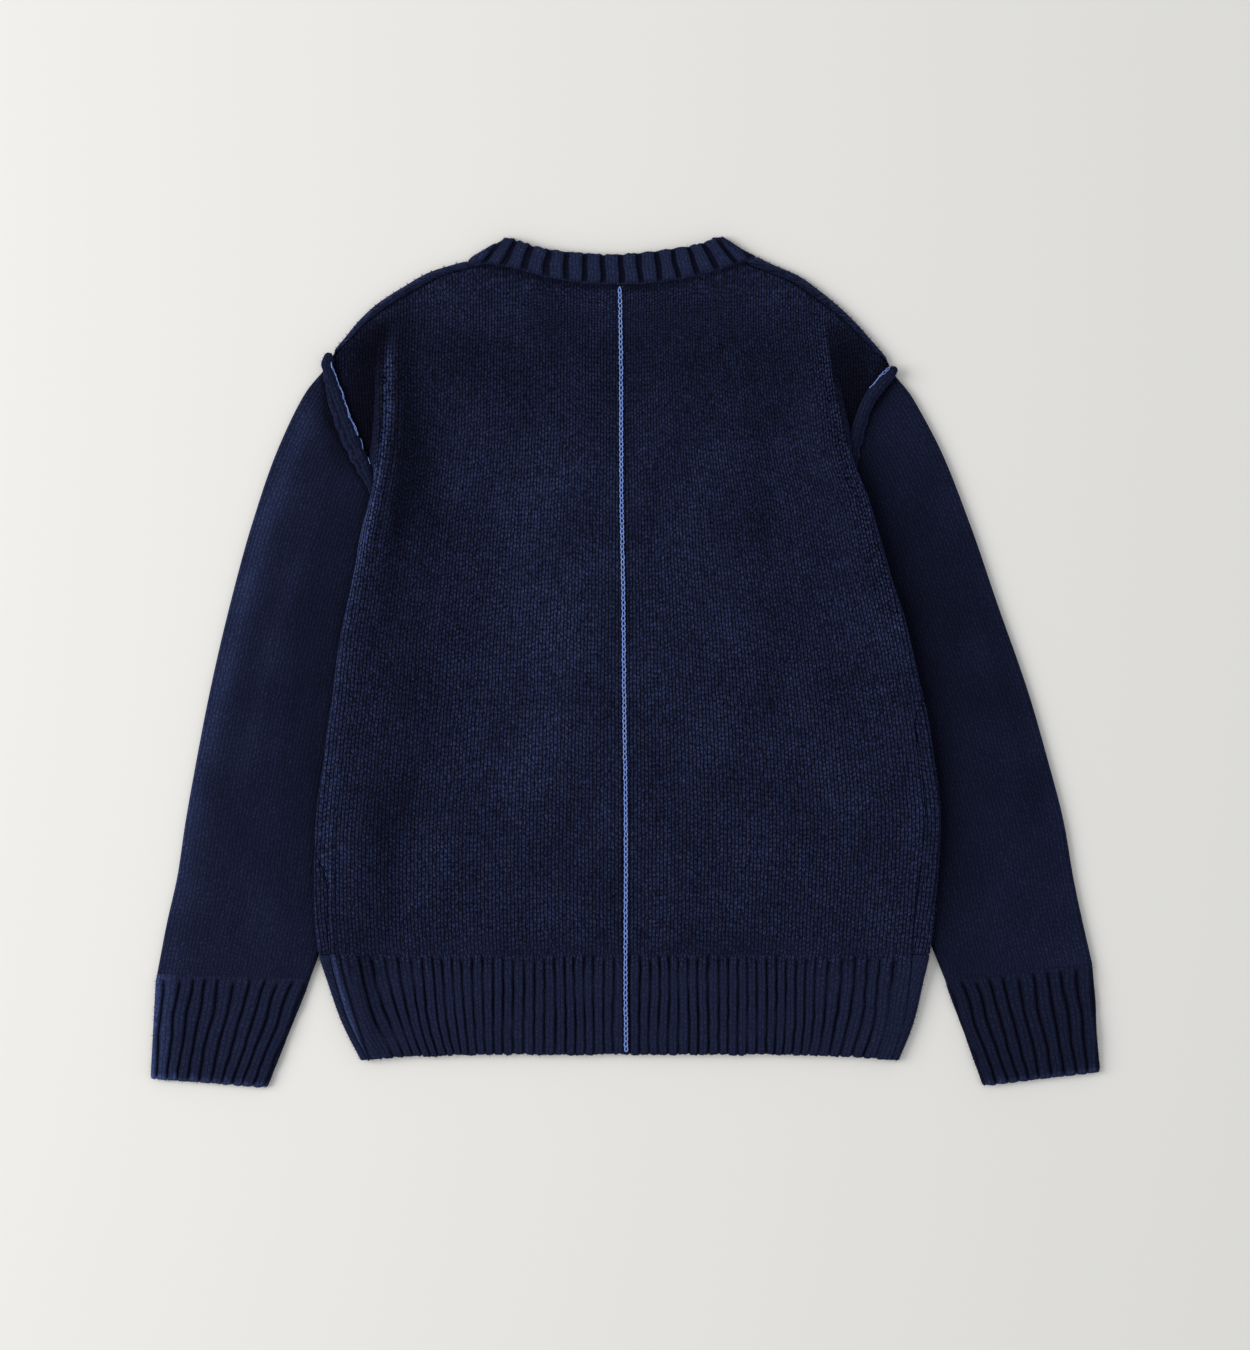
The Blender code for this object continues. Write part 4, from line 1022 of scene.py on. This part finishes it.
ridge = {
    "heightShown": 5.6,
    "hiddenHeight": 2.2,
    "shows": {"left": 150.0, "right": 160.0},
    "end": {"left": 122.0, "right": 126.0},
    "top": {"left": 253.5, "right": 244.0},
    "tuck": {"left": 4.0, "right": 1.0},    # how far its end bends in over the shoulder
    # y, width of the main roll and of the small roll beside it, how far it is pushed in over the body
    "width": {
        "left": (
            (122, 8, 0, 0), (150, 9.5, 0.8, 0), (170, 10, 2.8, 0), (195, 10.6, 3.4, 0), (215, 10.6, 2.4, 0),
            (232, 9.6, 0, 0), (251, 9, 0, 0),
        ),
        "right": (
            (126, 8.5, 0, 1), (150, 9, 0, 2), (170, 9.5, 1.0, 4), (182, 10, 1.0, 5), (198, 10, 0.6, 5.5),
            (222, 9.5, 0, 6), (234, 9.5, 0, 4), (244, 9.5, 0, 1.5),
        ),
    },
    "rings": 150,
    "sides": 36,
    "foot": 0.1,            # from the seam to the ridge
    "wander": 0.35,
    "bumps": 0.07,
    "stitch": 0.32,         # height of the courses across its top
    "creaseDepth": 0.34,    # between the rolls
    "capLength": 1 / 24,    # the rounding of its ends, as a share of its length
    "tuckFrom": 15,
    # how dark the painted shade in the crease between the rolls and along the foot is
    "creaseShade": 1.2,
    "footShade": 0.9,
    "walesRound": 10,
}


def ridgeMiddle(side, y, fromSeam):
    # a place beside the armhole seam, which runs straight on past the shoulder's end
    last = min(y, body["shoulderEnd"][side] - 2)
    slope = (armholeLine(side, last + 1) - armholeLine(side, last - 1)) / 2
    normal = np.array((1.0, -slope)) / np.hypot(1.0, slope)
    pushed = float(fromTable(ridge["width"][side], 3, y))
    return np.array((armholeLine(side, last) + slope * (y - last) - pushed, y)) + normal * fromSeam


def makeRidge(side):
    # a roll with a smaller one beside it, ring by ring from the shoulder down
    turn = np.linspace(0, 2 * np.pi, ridge["sides"], endpoint=False)
    roll = 0.5 + 0.5 * np.sin(turn)
    top, end = ridge["top"][side], ridge["end"][side]
    points, knit, tones = [], [], []
    for k, y in enumerate(np.linspace(top, end, ridge["rings"])):
        main, small = [float(fromTable(ridge["width"][side], column, y)) for column in (1, 2)]
        showing = step(y, end, ridge["shows"][side])
        stitch = 0.5 + 0.5 * np.sin(2 * np.pi * y / cloth["course"] + 2 * np.cos(turn))
        wander = float(unevenness(np.array(y), np.array(3.0 * signOf[side]), 18, 26))
        bumps = 1 + ridge["bumps"] * float(unevenness(np.array(y), np.array(0.0), 19, 11))
        tall = (ridge["hiddenHeight"] + (ridge["heightShown"] - ridge["hiddenHeight"]) * showing) * bumps
        fromEnd = min(k, ridge["rings"] - 1 - k) / (ridge["rings"] - 1) / ridge["capLength"]
        cap = np.sqrt(np.clip(1 - (1 - np.clip(fromEnd, 0, 1)) ** 2, 0.02, 1))
        away = (main / 2 + 0.3) * (1 - cap * np.cos(turn)) * bumps
        beside = step(away, main * 0.72, main * 1.02) * small
        away = away + beside
        crease = ridge["creaseDepth"] * np.exp(-(away - main * 0.86) ** 2) * min(small / 2, 1) * (roll > 0.5)
        rolled = roll * (1 - crease) * (1 - 0.35 * beside / max(small, 0.1) * min(small, 1))
        lean = away + ridge["foot"] + ridge["wander"] * wander * step(away, 2, 8)
        lean = lean - ridge["tuck"][side] * step(y, top - ridge["tuckFrom"], top)
        place = np.array([ridgeMiddle(side, y, fromSeam) for fromSeam in lean])
        z = sleeve["layer"] + cloth["seamGap"] + tall * (0.5 + (rolled - 0.5) * cap)
        z = z + ridge["stitch"] * stitch * (roll > 0.6)
        points.append(np.stack([signOf[side] * place[:, 0], place[:, 1], z], axis=1))
        wale = turn / (2 * np.pi) * ridge["walesRound"] + 0.5
        knit.append(np.stack([wale, np.full(ridge["sides"], -y / cloth["course"])], axis=1))
        # painted shade in the crease between the rolls and along the roll's foot
        tones.append(-ridge["creaseShade"] * crease - ridge["footShade"] * step(0.45 - roll, 0, 0.4))
    points, knit = np.array(points), np.array(knit)
    number = np.arange(points.shape[0] * points.shape[1]).reshape(points.shape[:2])
    loops = np.concatenate((number, number[:, :1]), axis=1)
    knit = np.concatenate((knit, knit[:, :1] + (ridge["walesRound"], 0)), axis=1)
    facing = slice(None) if side == "left" else slice(None, None, -1)
    faces = cellCorners(loops)[:, facing].tolist()
    faces += [number[0, ::-1][facing].tolist(), number[-1, facing].tolist()]
    maps = np.concatenate((cellCorners(knit)[:, facing].reshape(-1, 2), np.zeros((2 * ridge["sides"], 2))))
    name = "armhole_" + side + "_allowance"
    return meshPiece(name, points.reshape(-1, 3) * metres, faces, maps, np.ravel(tones))


def setFinish(piece, material, nodes=()):
    piece.data.materials.clear()
    piece.data.materials.append(material)
    if nodes:
        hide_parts(*nodes)


# The thread

chain = {
    "pitch": 4.2,
    "width": 4.0,
    "strand": 0.5,          # its radius
    "sides": 6,
    "points": 16,
    "low": 0.1,             # a loop's start and end over the cloth
    "high": 1.0,
    "line": ((-330, 0.4), (-60, -0.4), (50, -2.0), (310, -4.5)),    # y, x of the centre seam
    "top": 307.6,
}


def strandLoop(closedLine, radius, sides):
    # a tube round a closed line; returns its points and quads
    ahead = np.roll(closedLine, -1, axis=0) - np.roll(closedLine, 1, axis=0)
    ahead /= np.linalg.norm(ahead, axis=1, keepdims=True)
    up = np.tile((0.0, 0.0, 1.0), (len(closedLine), 1))
    side = np.cross(ahead, up)
    side /= np.linalg.norm(side, axis=1, keepdims=True)
    up = np.cross(side, ahead)
    turn = np.linspace(0, 2 * np.pi, sides, endpoint=False)
    ring = side[:, None] * np.cos(turn)[None, :, None] + up[:, None] * np.sin(turn)[None, :, None]
    points = (closedLine[:, None] + ring * radius).reshape(-1, 3)
    number = np.arange(len(points)).reshape(len(closedLine), sides)
    around, along = np.roll(number, -1, axis=1), np.roll(number, -1, axis=0)
    quads = np.stack([number, around, np.roll(along, -1, axis=1), along], axis=2).reshape(-1, 4)
    return points, quads


def chainStitch(name, path, width, pitch, seed, strand, unsteady=0.0):
    # a row of loops, each with its narrow end inside the loop before it
    dice = np.random.default_rng(seed)
    lengths = np.concatenate(([0], np.cumsum(np.linalg.norm(np.diff(path, axis=0), axis=1))))
    count = int(lengths[-1] / pitch)
    angle = np.linspace(0, 2 * np.pi, chain["points"], endpoint=False)
    points, faces = [], []
    for k in range(count):
        start = (k + dice.uniform(-0.06, 0.06)) * pitch
        middle, ahead = [
            np.array([np.interp(start + d, lengths, path[:, axis]) for axis in range(3)]) for d in (0, pitch)]
        along = (ahead - middle) / np.linalg.norm(ahead - middle)
        across = np.cross((0, 0, 1.0), along)
        across /= np.linalg.norm(across)
        reach = pitch * dice.uniform(1.22, 1.36)
        part = 0.5 - 0.5 * np.cos(angle)
        wide = width[0] + (width[-1] - width[0]) * k / max(count - 1, 1)
        wide = wide * (1 + unsteady * np.sin(1.9 * k + seed))
        half = max(wide / 2 - strand, 0.1) * np.sin(angle) * (0.3 + 0.85 * part) * dice.uniform(0.85, 1.1)
        lift = chain["low"] + (chain["high"] - chain["low"]) * part ** 0.8
        line = middle + (reach * part)[:, None] * along + half[:, None] * across
        line[:, 2] += lift + dice.uniform(-0.08, 0.08)
        line[:, :2] += across[:2] * dice.uniform(-0.16, 0.16)
        tube, quads = strandLoop(line, strand * dice.uniform(0.92, 1.06), chain["sides"])
        faces.append(quads + sum(map(len, points)))
        points.append(tube)
    faces = np.concatenate(faces)
    maps = np.tile(np.array(((0, 0), (1, 0), (1, 1), (0, 1)), dtype=float), (len(faces), 1, 1))
    return meshPiece(name, np.concatenate(points) * metres, faces.tolist(), maps)


def surfaceAt(pieces, x, y):
    # the height of the topmost cloth under a point
    best = -1.0
    for piece in pieces:
        hit, place, _, _ = piece.ray_cast((x * metres, y * metres, 0.1), (0, 0, -1))
        if hit:
            best = max(best, place[2] / metres)
    return best


def lowPass(values, size):
    kernel = np.hanning(size + 2)[1:-1]
    padded = np.pad(values, size // 2, mode="edge")
    return np.convolve(padded, kernel / kernel.sum(), "valid")[:len(values)]


def makeCentreChain(under):
    y = np.linspace(chain["top"], body["hemBottom"] + 2.0, 400)
    x = fromTable(chain["line"], 1, y) + 0.25 * np.sin(y / 31)
    # it rides on whatever lies higher beneath either of its sides
    z = np.array([max(surfaceAt(under, a + d, b) for d in (-2.2, 2.2)) for a, b in zip(x, y)])
    path = np.stack([x, y, lowPass(z, 21)], axis=1)
    return chainStitch("centre_back_chain", path, (chain["width"],), chain["pitch"], 5, chain["strand"])


# y of both ends, width at both ends, pitch, radius of the strand
armholeThread = {
    "left": (
        (245.5, 187.0, 1.2, 1.9, 4.0, 0.3),
        (183.0, 174.5, 0.55, 0.5, 3.0, 0.16),
        (168.0, 161.5, 0.5, 0.5, 3.0, 0.16),
    ),
    "right": (
        (242.0, 223.0, 2.8, 0.6, 4.0, 0.3),
    ),
}


def makeArmholeThread(side, under):
    made = []
    for number, (top, low, widthTop, widthLow, pitch, strand) in enumerate(armholeThread[side]):
        y = np.linspace(top, low, 60)
        wobble = 0.45 * np.sin(y / 2.1) + 0.3 * np.sin(y / 5.3 + 1)
        place = np.array([ridgeMiddle(side, a, ridge["foot"] + b) for a, b in zip(y, wobble)])
        z = lowPass(np.array([surfaceAt(under, signOf[side] * a, b) for a, b in place]), 9)
        path = np.stack([signOf[side] * place[:, 0], place[:, 1], np.maximum(z, 9.4) + 0.2], axis=1)
        name = "armhole_%s_thread_%d" % (side, number + 1)
        made.append(chainStitch(name, path, (widthTop, widthLow), pitch, 50 + number, strand, 0.3))
    return made


# Loose fibres that stand off the edges

fibre = {
    "count": 9000,
    "length": (0.9, 3.4),
    "radius": 0.10,
    "steepest": 0.36,       # only where the cloth turns away from above
    "stray": 0.7,
    "bend": 0.5,
    "lowest": 0.05,
    "dark": (0.006, 0.007, 0.018, 1),
    "pale": (0.045, 0.055, 0.14, 1),
}


def makeFibres(pieces):
    # three-sided spikes with a knee
    dice = np.random.default_rng(77)
    count = fibre["count"]
    found = []
    for piece in pieces:
        polygons = piece.data.polygons
        centre, normal, area = [np.empty(len(polygons) * size) for size in (3, 3, 1)]
        polygons.foreach_get("center", centre)
        polygons.foreach_get("normal", normal)
        polygons.foreach_get("area", area)
        first = np.array([polygon.vertices[0] for polygon in polygons])
        centre, normal = centre.reshape(-1, 3) / metres, normal.reshape(-1, 3)
        steep = np.abs(normal[:, 2]) < fibre["steepest"]
        edge = steep & (first < len(piece.data.vertices) / 2) & (centre[:, 2] > 0.4)
        found.append((centre[edge], normal[edge], area[edge]))
    places, normals, areas = [np.concatenate(values) for values in zip(*found)]
    chosen = dice.choice(len(places), count, p=areas / areas.sum())
    start = places[chosen] + dice.uniform(-0.4, 0.4, (count, 3))
    start[:, 2] = np.maximum(start[:, 2], 0.3)
    way = normals[chosen] + dice.normal(0, fibre["stray"], (count, 3)) * (1, 1, 0.5)
    way /= np.linalg.norm(way, axis=1, keepdims=True)
    length = dice.uniform(*fibre["length"], count)[:, None] * dice.uniform(0.4, 1, count)[:, None]
    bend = way + dice.normal(0, fibre["bend"], (count, 3))
    knee = start + way * length * 0.5
    tip = knee + bend * length * 0.4
    knee[:, 2], tip[:, 2] = np.maximum(knee[:, 2], 0.25), np.maximum(tip[:, 2], 0.15)
    side = np.cross(way, (0.3, 0.2, 1.0))
    side /= np.linalg.norm(side, axis=1, keepdims=True)
    up = np.cross(side, way)
    rings = [
        at + fibre["radius"] * size * (side * np.cos(turn) + up * np.sin(turn))
        for at, size in ((start - 0.3 * way, 1.0), (knee, 0.7)) for turn in (0, 2 * np.pi / 3, 4 * np.pi / 3)]
    points = np.stack(rings + [tip], axis=1).reshape(-1, 3)
    points[:, 2] = np.maximum(points[:, 2], fibre["lowest"])
    quads = np.array(((0, 1, 4, 3), (1, 2, 5, 4), (2, 0, 3, 5)))
    ends = np.array(((3, 4, 6), (4, 5, 6), (5, 3, 6), (2, 1, 0)))
    offsets = np.arange(count)[:, None, None] * 7
    faces = (quads + offsets).reshape(-1, 4).tolist() + (ends + offsets).reshape(-1, 3).tolist()
    return meshPiece("loose_fibres", points * metres, faces, np.zeros((sum(map(len, faces)), 2)))


# Finishes

class Wire:
    # a value, vector or colour in a shader; sums and products of it add nodes
    def __init__(self, bench, socket):
        self.bench, self.socket = bench, socket

    def __add__(self, other):
        return self.bench.combine(self, other, "ADD")

    def __sub__(self, other):
        return self.bench.combine(self, other, "SUBTRACT")

    def __mul__(self, other):
        return self.bench.combine(self, other, "MULTIPLY")

    def __pow__(self, other):
        return self.bench.combine(self, other, "POWER")

    def __radd__(self, other):
        return self.bench.combine(other, self, "ADD")

    def __rsub__(self, other):
        return self.bench.combine(other, self, "SUBTRACT")

    def __rmul__(self, other):
        return self.bench.combine(other, self, "MULTIPLY")

    def __abs__(self):
        return self.bench.maths("ABSOLUTE", self)


class Bench:
    # a material's nodes
    def __init__(self, name):
        self.material = bpy.data.materials.new(name)
        self.material.use_nodes = True
        self.tree = self.material.node_tree
        self.shader = self.tree.nodes["Principled BSDF"]

    def node(self, kind, settings, sockets, out=0):
        made = self.tree.nodes.new(kind)
        for name, value in settings.items():
            setattr(made, name, value)
        for name, value in sockets.items():
            self.feed(made.inputs[name], value)
        return Wire(self, made.outputs[out])

    def feed(self, socket, value):
        if isinstance(value, Wire):
            self.tree.links.new(value.socket, socket)
        else:
            socket.default_value = value

    def maths(self, operation, *values):
        return self.node("ShaderNodeMath", {"operation": operation}, dict(enumerate(values)))

    def combine(self, first, second, operation):
        kinds = {w.socket.type for w in (first, second) if isinstance(w, Wire)}
        if "RGBA" in kinds:
            settings = {"data_type": "RGBA", "blend_type": operation}
            return self.node("ShaderNodeMix", settings, {0: 1.0, 6: first, 7: second}, out=2)
        if "VECTOR" in kinds:
            if operation == "MULTIPLY" and not isinstance(second, tuple):
                return self.node("ShaderNodeVectorMath", {"operation": "SCALE"}, {0: first, 3: second})
            return self.node("ShaderNodeVectorMath", {"operation": operation}, {0: first, 1: second})
        return self.maths(operation, first, second)

    def mixColours(self, share, first, second):
        return self.node("ShaderNodeMix", {"data_type": "RGBA"}, {0: share, 6: first, 7: second}, out=2)

    def noise(self, place, scale, detail=2.0, roughness=0.5):
        sockets = {"Vector": place, "Scale": scale, "Detail": detail, "Roughness": roughness}
        return self.node("ShaderNodeTexNoise", {"noise_dimensions": "3D"}, sockets)

    def fix(self, **constants):
        for name, value in constants.items():
            self.shader.inputs[name.replace("_", " ")].default_value = value


knitFinish = {
    "gap": (0.0024, 0.0019, 0.0046, 1),     # painted shade deep between the stitches
    "yarn": (0.0492, 0.0712, 0.182, 1),     # where the light catches a stitch's crest
    "farScale": 60.0,       # noise that pulls on rows of stitches, on a few, on the wool and in patches
    "nearScale": 260.0,
    "woolScale": 1100.0,
    "patchScale": 16.0,
    "vSlope": 0.5,          # how far a stitch's legs climb, in courses
    "wander": 0.45,         # how far the wales stray, in wales
    "unevenRow": 1.4,       # how far the courses stray, in courses, and from wale to wale
    "unevenWale": 0.9,
    "bump": 0.0011,
    "shadeReach": 0.022,    # how far away cloth still darkens a fold's colour, as painted shade
    "shadePower": 1.3,
    "sheen": 0.16,
    "sheenTint": (0.3, 0.4, 1.0, 1),
}

# how marked the stitches are, how light the cloth is, how high its relief is
knitLooks = {
    "navy_stocking_stitch": dict(marked=1.0, light=0.148, relief=0.9, stray=0.42, wool=0.3),
    "navy_sleeve_stitch": dict(marked=0.34, light=0.142, relief=0.6, stray=0.9, wool=1.5),
    "navy_rib": dict(marked=0.3, light=0.18, relief=0.4, stray=0.6, wool=1.7),
}


def knitMaterial(name):
    look = knitLooks[name]
    bench = Bench(name)
    place = bench.node("ShaderNodeTexCoord", {}, {}, out=3)
    knit = bench.node("ShaderNodeUVMap", {"uv_map": "knit"}, {})
    wale = bench.node("ShaderNodeSeparateXYZ", {}, {0: knit}, out=0)
    course = bench.node("ShaderNodeSeparateXYZ", {}, {0: knit}, out=1)
    tone = bench.node("ShaderNodeAttribute", {"attribute_name": "tone"}, {}, out=2)
    marks = bench.node("ShaderNodeAttribute", {"attribute_name": "marks"}, {}, out=2)
    far = bench.noise(place, knitFinish["farScale"], 2.0) - 0.5
    nearby = bench.noise(place, knitFinish["nearScale"], 2.0) - 0.5
    wool = bench.noise(place, knitFinish["woolScale"], 3.0, 0.7)
    patches = bench.noise(place, knitFinish["patchScale"], 3.0, 0.6)
    wale = wale + far * knitFinish["wander"] + nearby * look["stray"]
    number = bench.maths("FLOOR", wale)
    ownWale = bench.node("ShaderNodeTexWhiteNoise", {"noise_dimensions": "1D"}, {"W": number})
    course = course + nearby * knitFinish["unevenRow"] + ownWale * knitFinish["unevenWale"]
    # each stitch is a pair of legs that lean apart, with a dark hole beside the next wale; its colour is
    # painted light on the crests and painted shade in the holes, over random stitch and wool tone
    leg = abs(bench.maths("FRACT", wale) - 0.5) * 2
    rise = bench.maths("FRACT", course - leg * knitFinish["vSlope"])
    along = 1 - abs(rise * 2 - 1) ** 1.4
    cell = {0: bench.maths("FLOOR", wale * 2), 1: bench.maths("FLOOR", course * 2)}
    cell = bench.node("ShaderNodeCombineXYZ", {}, cell)
    single = bench.node("ShaderNodeTexWhiteNoise", {"noise_dimensions": "2D"}, {0: cell})
    hole = bench.maths("MAXIMUM", leg * 1.7 - 0.7, 0.0)
    centre = bench.maths("MAXIMUM", 1 - leg * 3.5, 0.0)
    crest = (1 - hole * (0.35 + along * 0.65)) * (1 - centre * 0.3) * (0.5 + along * 0.5)
    stitch = crest ** 2.4 * (0.42 + single * 1.16) * (0.35 + wool * 1.3) * 3.5
    # felted cloth shows less of its stitches and more of its wool
    felted = 1 + (stitch - 1) * look["marked"] * (1 + marks) * (0.8 + patches * 0.4)
    felted = bench.maths("MAXIMUM", felted + (wool - 0.5) * look["wool"], 0.0)
    # ambient occlusion darkens the colour in folds and recesses as painted shade; the tone attribute adds
    # painted light and painted shade, with random tone
    reach = {"Distance": knitFinish["shadeReach"]}
    occluded = bench.node("ShaderNodeAmbientOcclusion", {"samples": 4}, reach, out=1)
    light = bench.maths("POWER", 2.0, tone + (patches - 0.5) * 0.5) * occluded ** knitFinish["shadePower"]
    fuzz = bench.node("ShaderNodeMapRange", {}, {0: wool, 1: 0.62, 2: 0.85, 3: 0.0, 4: 0.5})
    share = bench.node("ShaderNodeClamp", {}, {0: (felted + fuzz) * light * look["light"]})
    colour = bench.mixColours(share, knitFinish["gap"], knitFinish["yarn"])
    relief = crest * look["relief"] + wool * 0.25
    sockets = {"Strength": 1.0, "Distance": knitFinish["bump"], "Height": relief}
    bench.feed(bench.shader.inputs["Base Color"], colour)
    bench.feed(bench.shader.inputs["Normal"], bench.node("ShaderNodeBump", {}, sockets))
    bench.fix(Roughness=0.95, Specular_IOR_Level=0.02)
    bench.fix(Sheen_Weight=knitFinish["sheen"], Sheen_Roughness=0.3, Sheen_Tint=knitFinish["sheenTint"])
    return bench.material


threadLook = {
    "strandShade": (0.006, 0.012, 0.05, 1),      # painted shade between the strands
    "dark": (0.10, 0.19, 0.52, 1),
    "pale": (0.25, 0.39, 0.84, 1),
    "shadeReach": 0.003,
    "bump": 0.0003,
}


def threadMaterial():
    bench = Bench("cornflower_thread")
    place = bench.node("ShaderNodeTexCoord", {}, {}, out=3)
    fibres = bench.noise(place, 1400.0, 2.0, 0.6)
    dye = bench.noise(place, 60.0, 2.0)
    # ambient occlusion mixes in the painted shade between the strands
    reach = {"Distance": threadLook["shadeReach"]}
    occluded = bench.node("ShaderNodeAmbientOcclusion", {"samples": 4}, reach, out=1)
    dyed = bench.mixColours(dye * 0.5 + fibres * 0.5, threadLook["dark"], threadLook["pale"])
    colour = bench.mixColours(occluded ** 1.2, threadLook["strandShade"], dyed)
    sockets = {"Strength": 0.6, "Distance": threadLook["bump"], "Height": fibres}
    bench.feed(bench.shader.inputs["Base Color"], colour)
    bench.feed(bench.shader.inputs["Normal"], bench.node("ShaderNodeBump", {}, sockets))
    bench.fix(Roughness=0.6, Sheen_Weight=0.2, Specular_IOR_Level=0.3)
    return bench.material


def fibreMaterial():
    bench = Bench("navy_fibre")
    place = bench.node("ShaderNodeTexCoord", {}, {}, out=3)
    colour = bench.mixColours(bench.noise(place, 300.0), fibre["dark"], fibre["pale"])
    bench.feed(bench.shader.inputs["Base Color"], colour)
    bench.fix(Roughness=0.9, Specular_IOR_Level=0.05)
    return bench.material


# Making it all

stockingStitch = knitMaterial("navy_stocking_stitch")
sleeveStitch = knitMaterial("navy_sleeve_stitch")
ribStitch = knitMaterial("navy_rib")
threadFinish = threadMaterial()

panels = {}
for side in signOf:
    panels["back_" + side] = makeBack(side)
panels["front"] = makeFront()
sleeves = {"sleeve_" + side: makeSleeve(side) for side in signOf}
print("panels and sleeves made")

ribs = {"collar": makeCollar(), "hem_front": makeHemFront()}
for side in signOf:
    ribs["hem_back_" + side] = makeHemBack(side)
    ribs["cuff_" + side] = makeCuff(side)
print("ribs made")

allowances = {"armhole_seam_" + side: makeRidge(side) for side in signOf}
for made, finish, slot in ((panels, stockingStitch, "knit"), (sleeves, sleeveStitch, "knit"),
                           (allowances, sleeveStitch, "knit"), (ribs, ribStitch, "rib")):
    for node, piece in made.items():
        setFinish(piece, finish, [node])

bpy.context.view_layer.update()
backs = [panels["back_left"], panels["back_right"], ribs["hem_back_left"], ribs["hem_back_right"]]
threads = [makeCentreChain(backs)]
for side in signOf:
    threads += makeArmholeThread(side, [panels["back_" + side], allowances["armhole_seam_" + side]])
for thread in threads:
    setFinish(thread, threadFinish)
print("threads made", len(threads))

fibres = makeFibres([*panels.values(), *sleeves.values(), *ribs.values(), *allowances.values()])
setFinish(fibres, fibreMaterial())
print("fibres made")

# What each sheet was cut to, in metres, and its flat area
cuts = {
    "front": ((0.512, 0.590), 0.262),
    "back_left": ((0.300, 0.590), 0.150),
    "back_right": ((0.300, 0.590), 0.146),
    "sleeve_left": ((0.420, 0.510), 0.160),
    "sleeve_right": ((0.420, 0.510), 0.155),
    "collar": ((0.500, 0.026), 0.0128),
    "hem_front": ((0.500, 0.084), 0.040),
    "hem_back_left": ((0.256, 0.084), 0.021),
    "hem_back_right": ((0.256, 0.084), 0.021),
    "cuff_left": ((0.240, 0.088), 0.020),
    "cuff_right": ((0.240, 0.088), 0.020),
}
for node, (flat, area) in cuts.items():
    piece = panels.get(node) or sleeves.get(node) or ribs[node]

# The table, the light and the camera

studio = {
    "table": (0.80, 0.783, 0.738, 1),
    "tableReach": 4.0,
    "sky": (0.93, 0.95, 1.0, 1),
    "skyStrength": 0.62,
    "keyFrom": (-3.5, 0.35, 2.5),
    "keySize": 2.8,
    "keyPower": 146.0,
    "cameraHeight": 2.5,
    "clothHeight": 0.006,   # where the frame is measured
    "frameHeight": 1350,    # pixels
    "pixel": 0.82,          # millimetres
    "middle": (-0.4, -10.7),
}


def makeTable():
    reach = studio["tableReach"]
    mesh = bpy.data.meshes.new("table")
    corners = [(-reach, -reach, 0), (reach, -reach, 0), (reach, reach, 0), (-reach, reach, 0)]
    mesh.from_pydata(corners, [], [(0, 1, 2, 3)])
    table = bpy.data.objects.new("table", mesh)
    bpy.context.scene.collection.objects.link(table)
    bench = Bench("pale_table")
    bench.fix(Base_Color=studio["table"], Roughness=0.9, Specular_IOR_Level=0.1)
    mesh.materials.append(bench.material)


def makeLight():
    light = bpy.data.lights.new("key", "AREA")
    light.size, light.energy = studio["keySize"], studio["keyPower"]
    lamp = bpy.data.objects.new("key", light)
    lamp.location = studio["keyFrom"]
    toGarment = -lamp.location
    lamp.rotation_euler = toGarment.to_track_quat("-Z", "Y").to_euler()
    bpy.context.scene.collection.objects.link(lamp)


def makeSky():
    world = bpy.data.worlds.new("studio")
    world.use_nodes = True
    back = world.node_tree.nodes["Background"]
    back.inputs["Color"].default_value = studio["sky"]
    back.inputs["Strength"].default_value = studio["skyStrength"]
    bpy.context.scene.world = world


def makeCamera():
    camera = bpy.data.cameras.new("camera")
    camera.sensor_width = 36
    frameHeight = studio["frameHeight"] * studio["pixel"] * metres
    camera.lens = camera.sensor_width * (studio["cameraHeight"] - studio["clothHeight"]) / frameHeight
    holder = bpy.data.objects.new("camera", camera)
    x, y = studio["middle"]
    holder.location = (x * metres, y * metres, studio["cameraHeight"])
    bpy.context.scene.collection.objects.link(holder)
    bpy.context.scene.camera = holder


makeTable()
makeSky()
makeLight()
makeCamera()
bpy.context.scene.view_settings.view_transform = "Standard"
print("table, light and camera made")
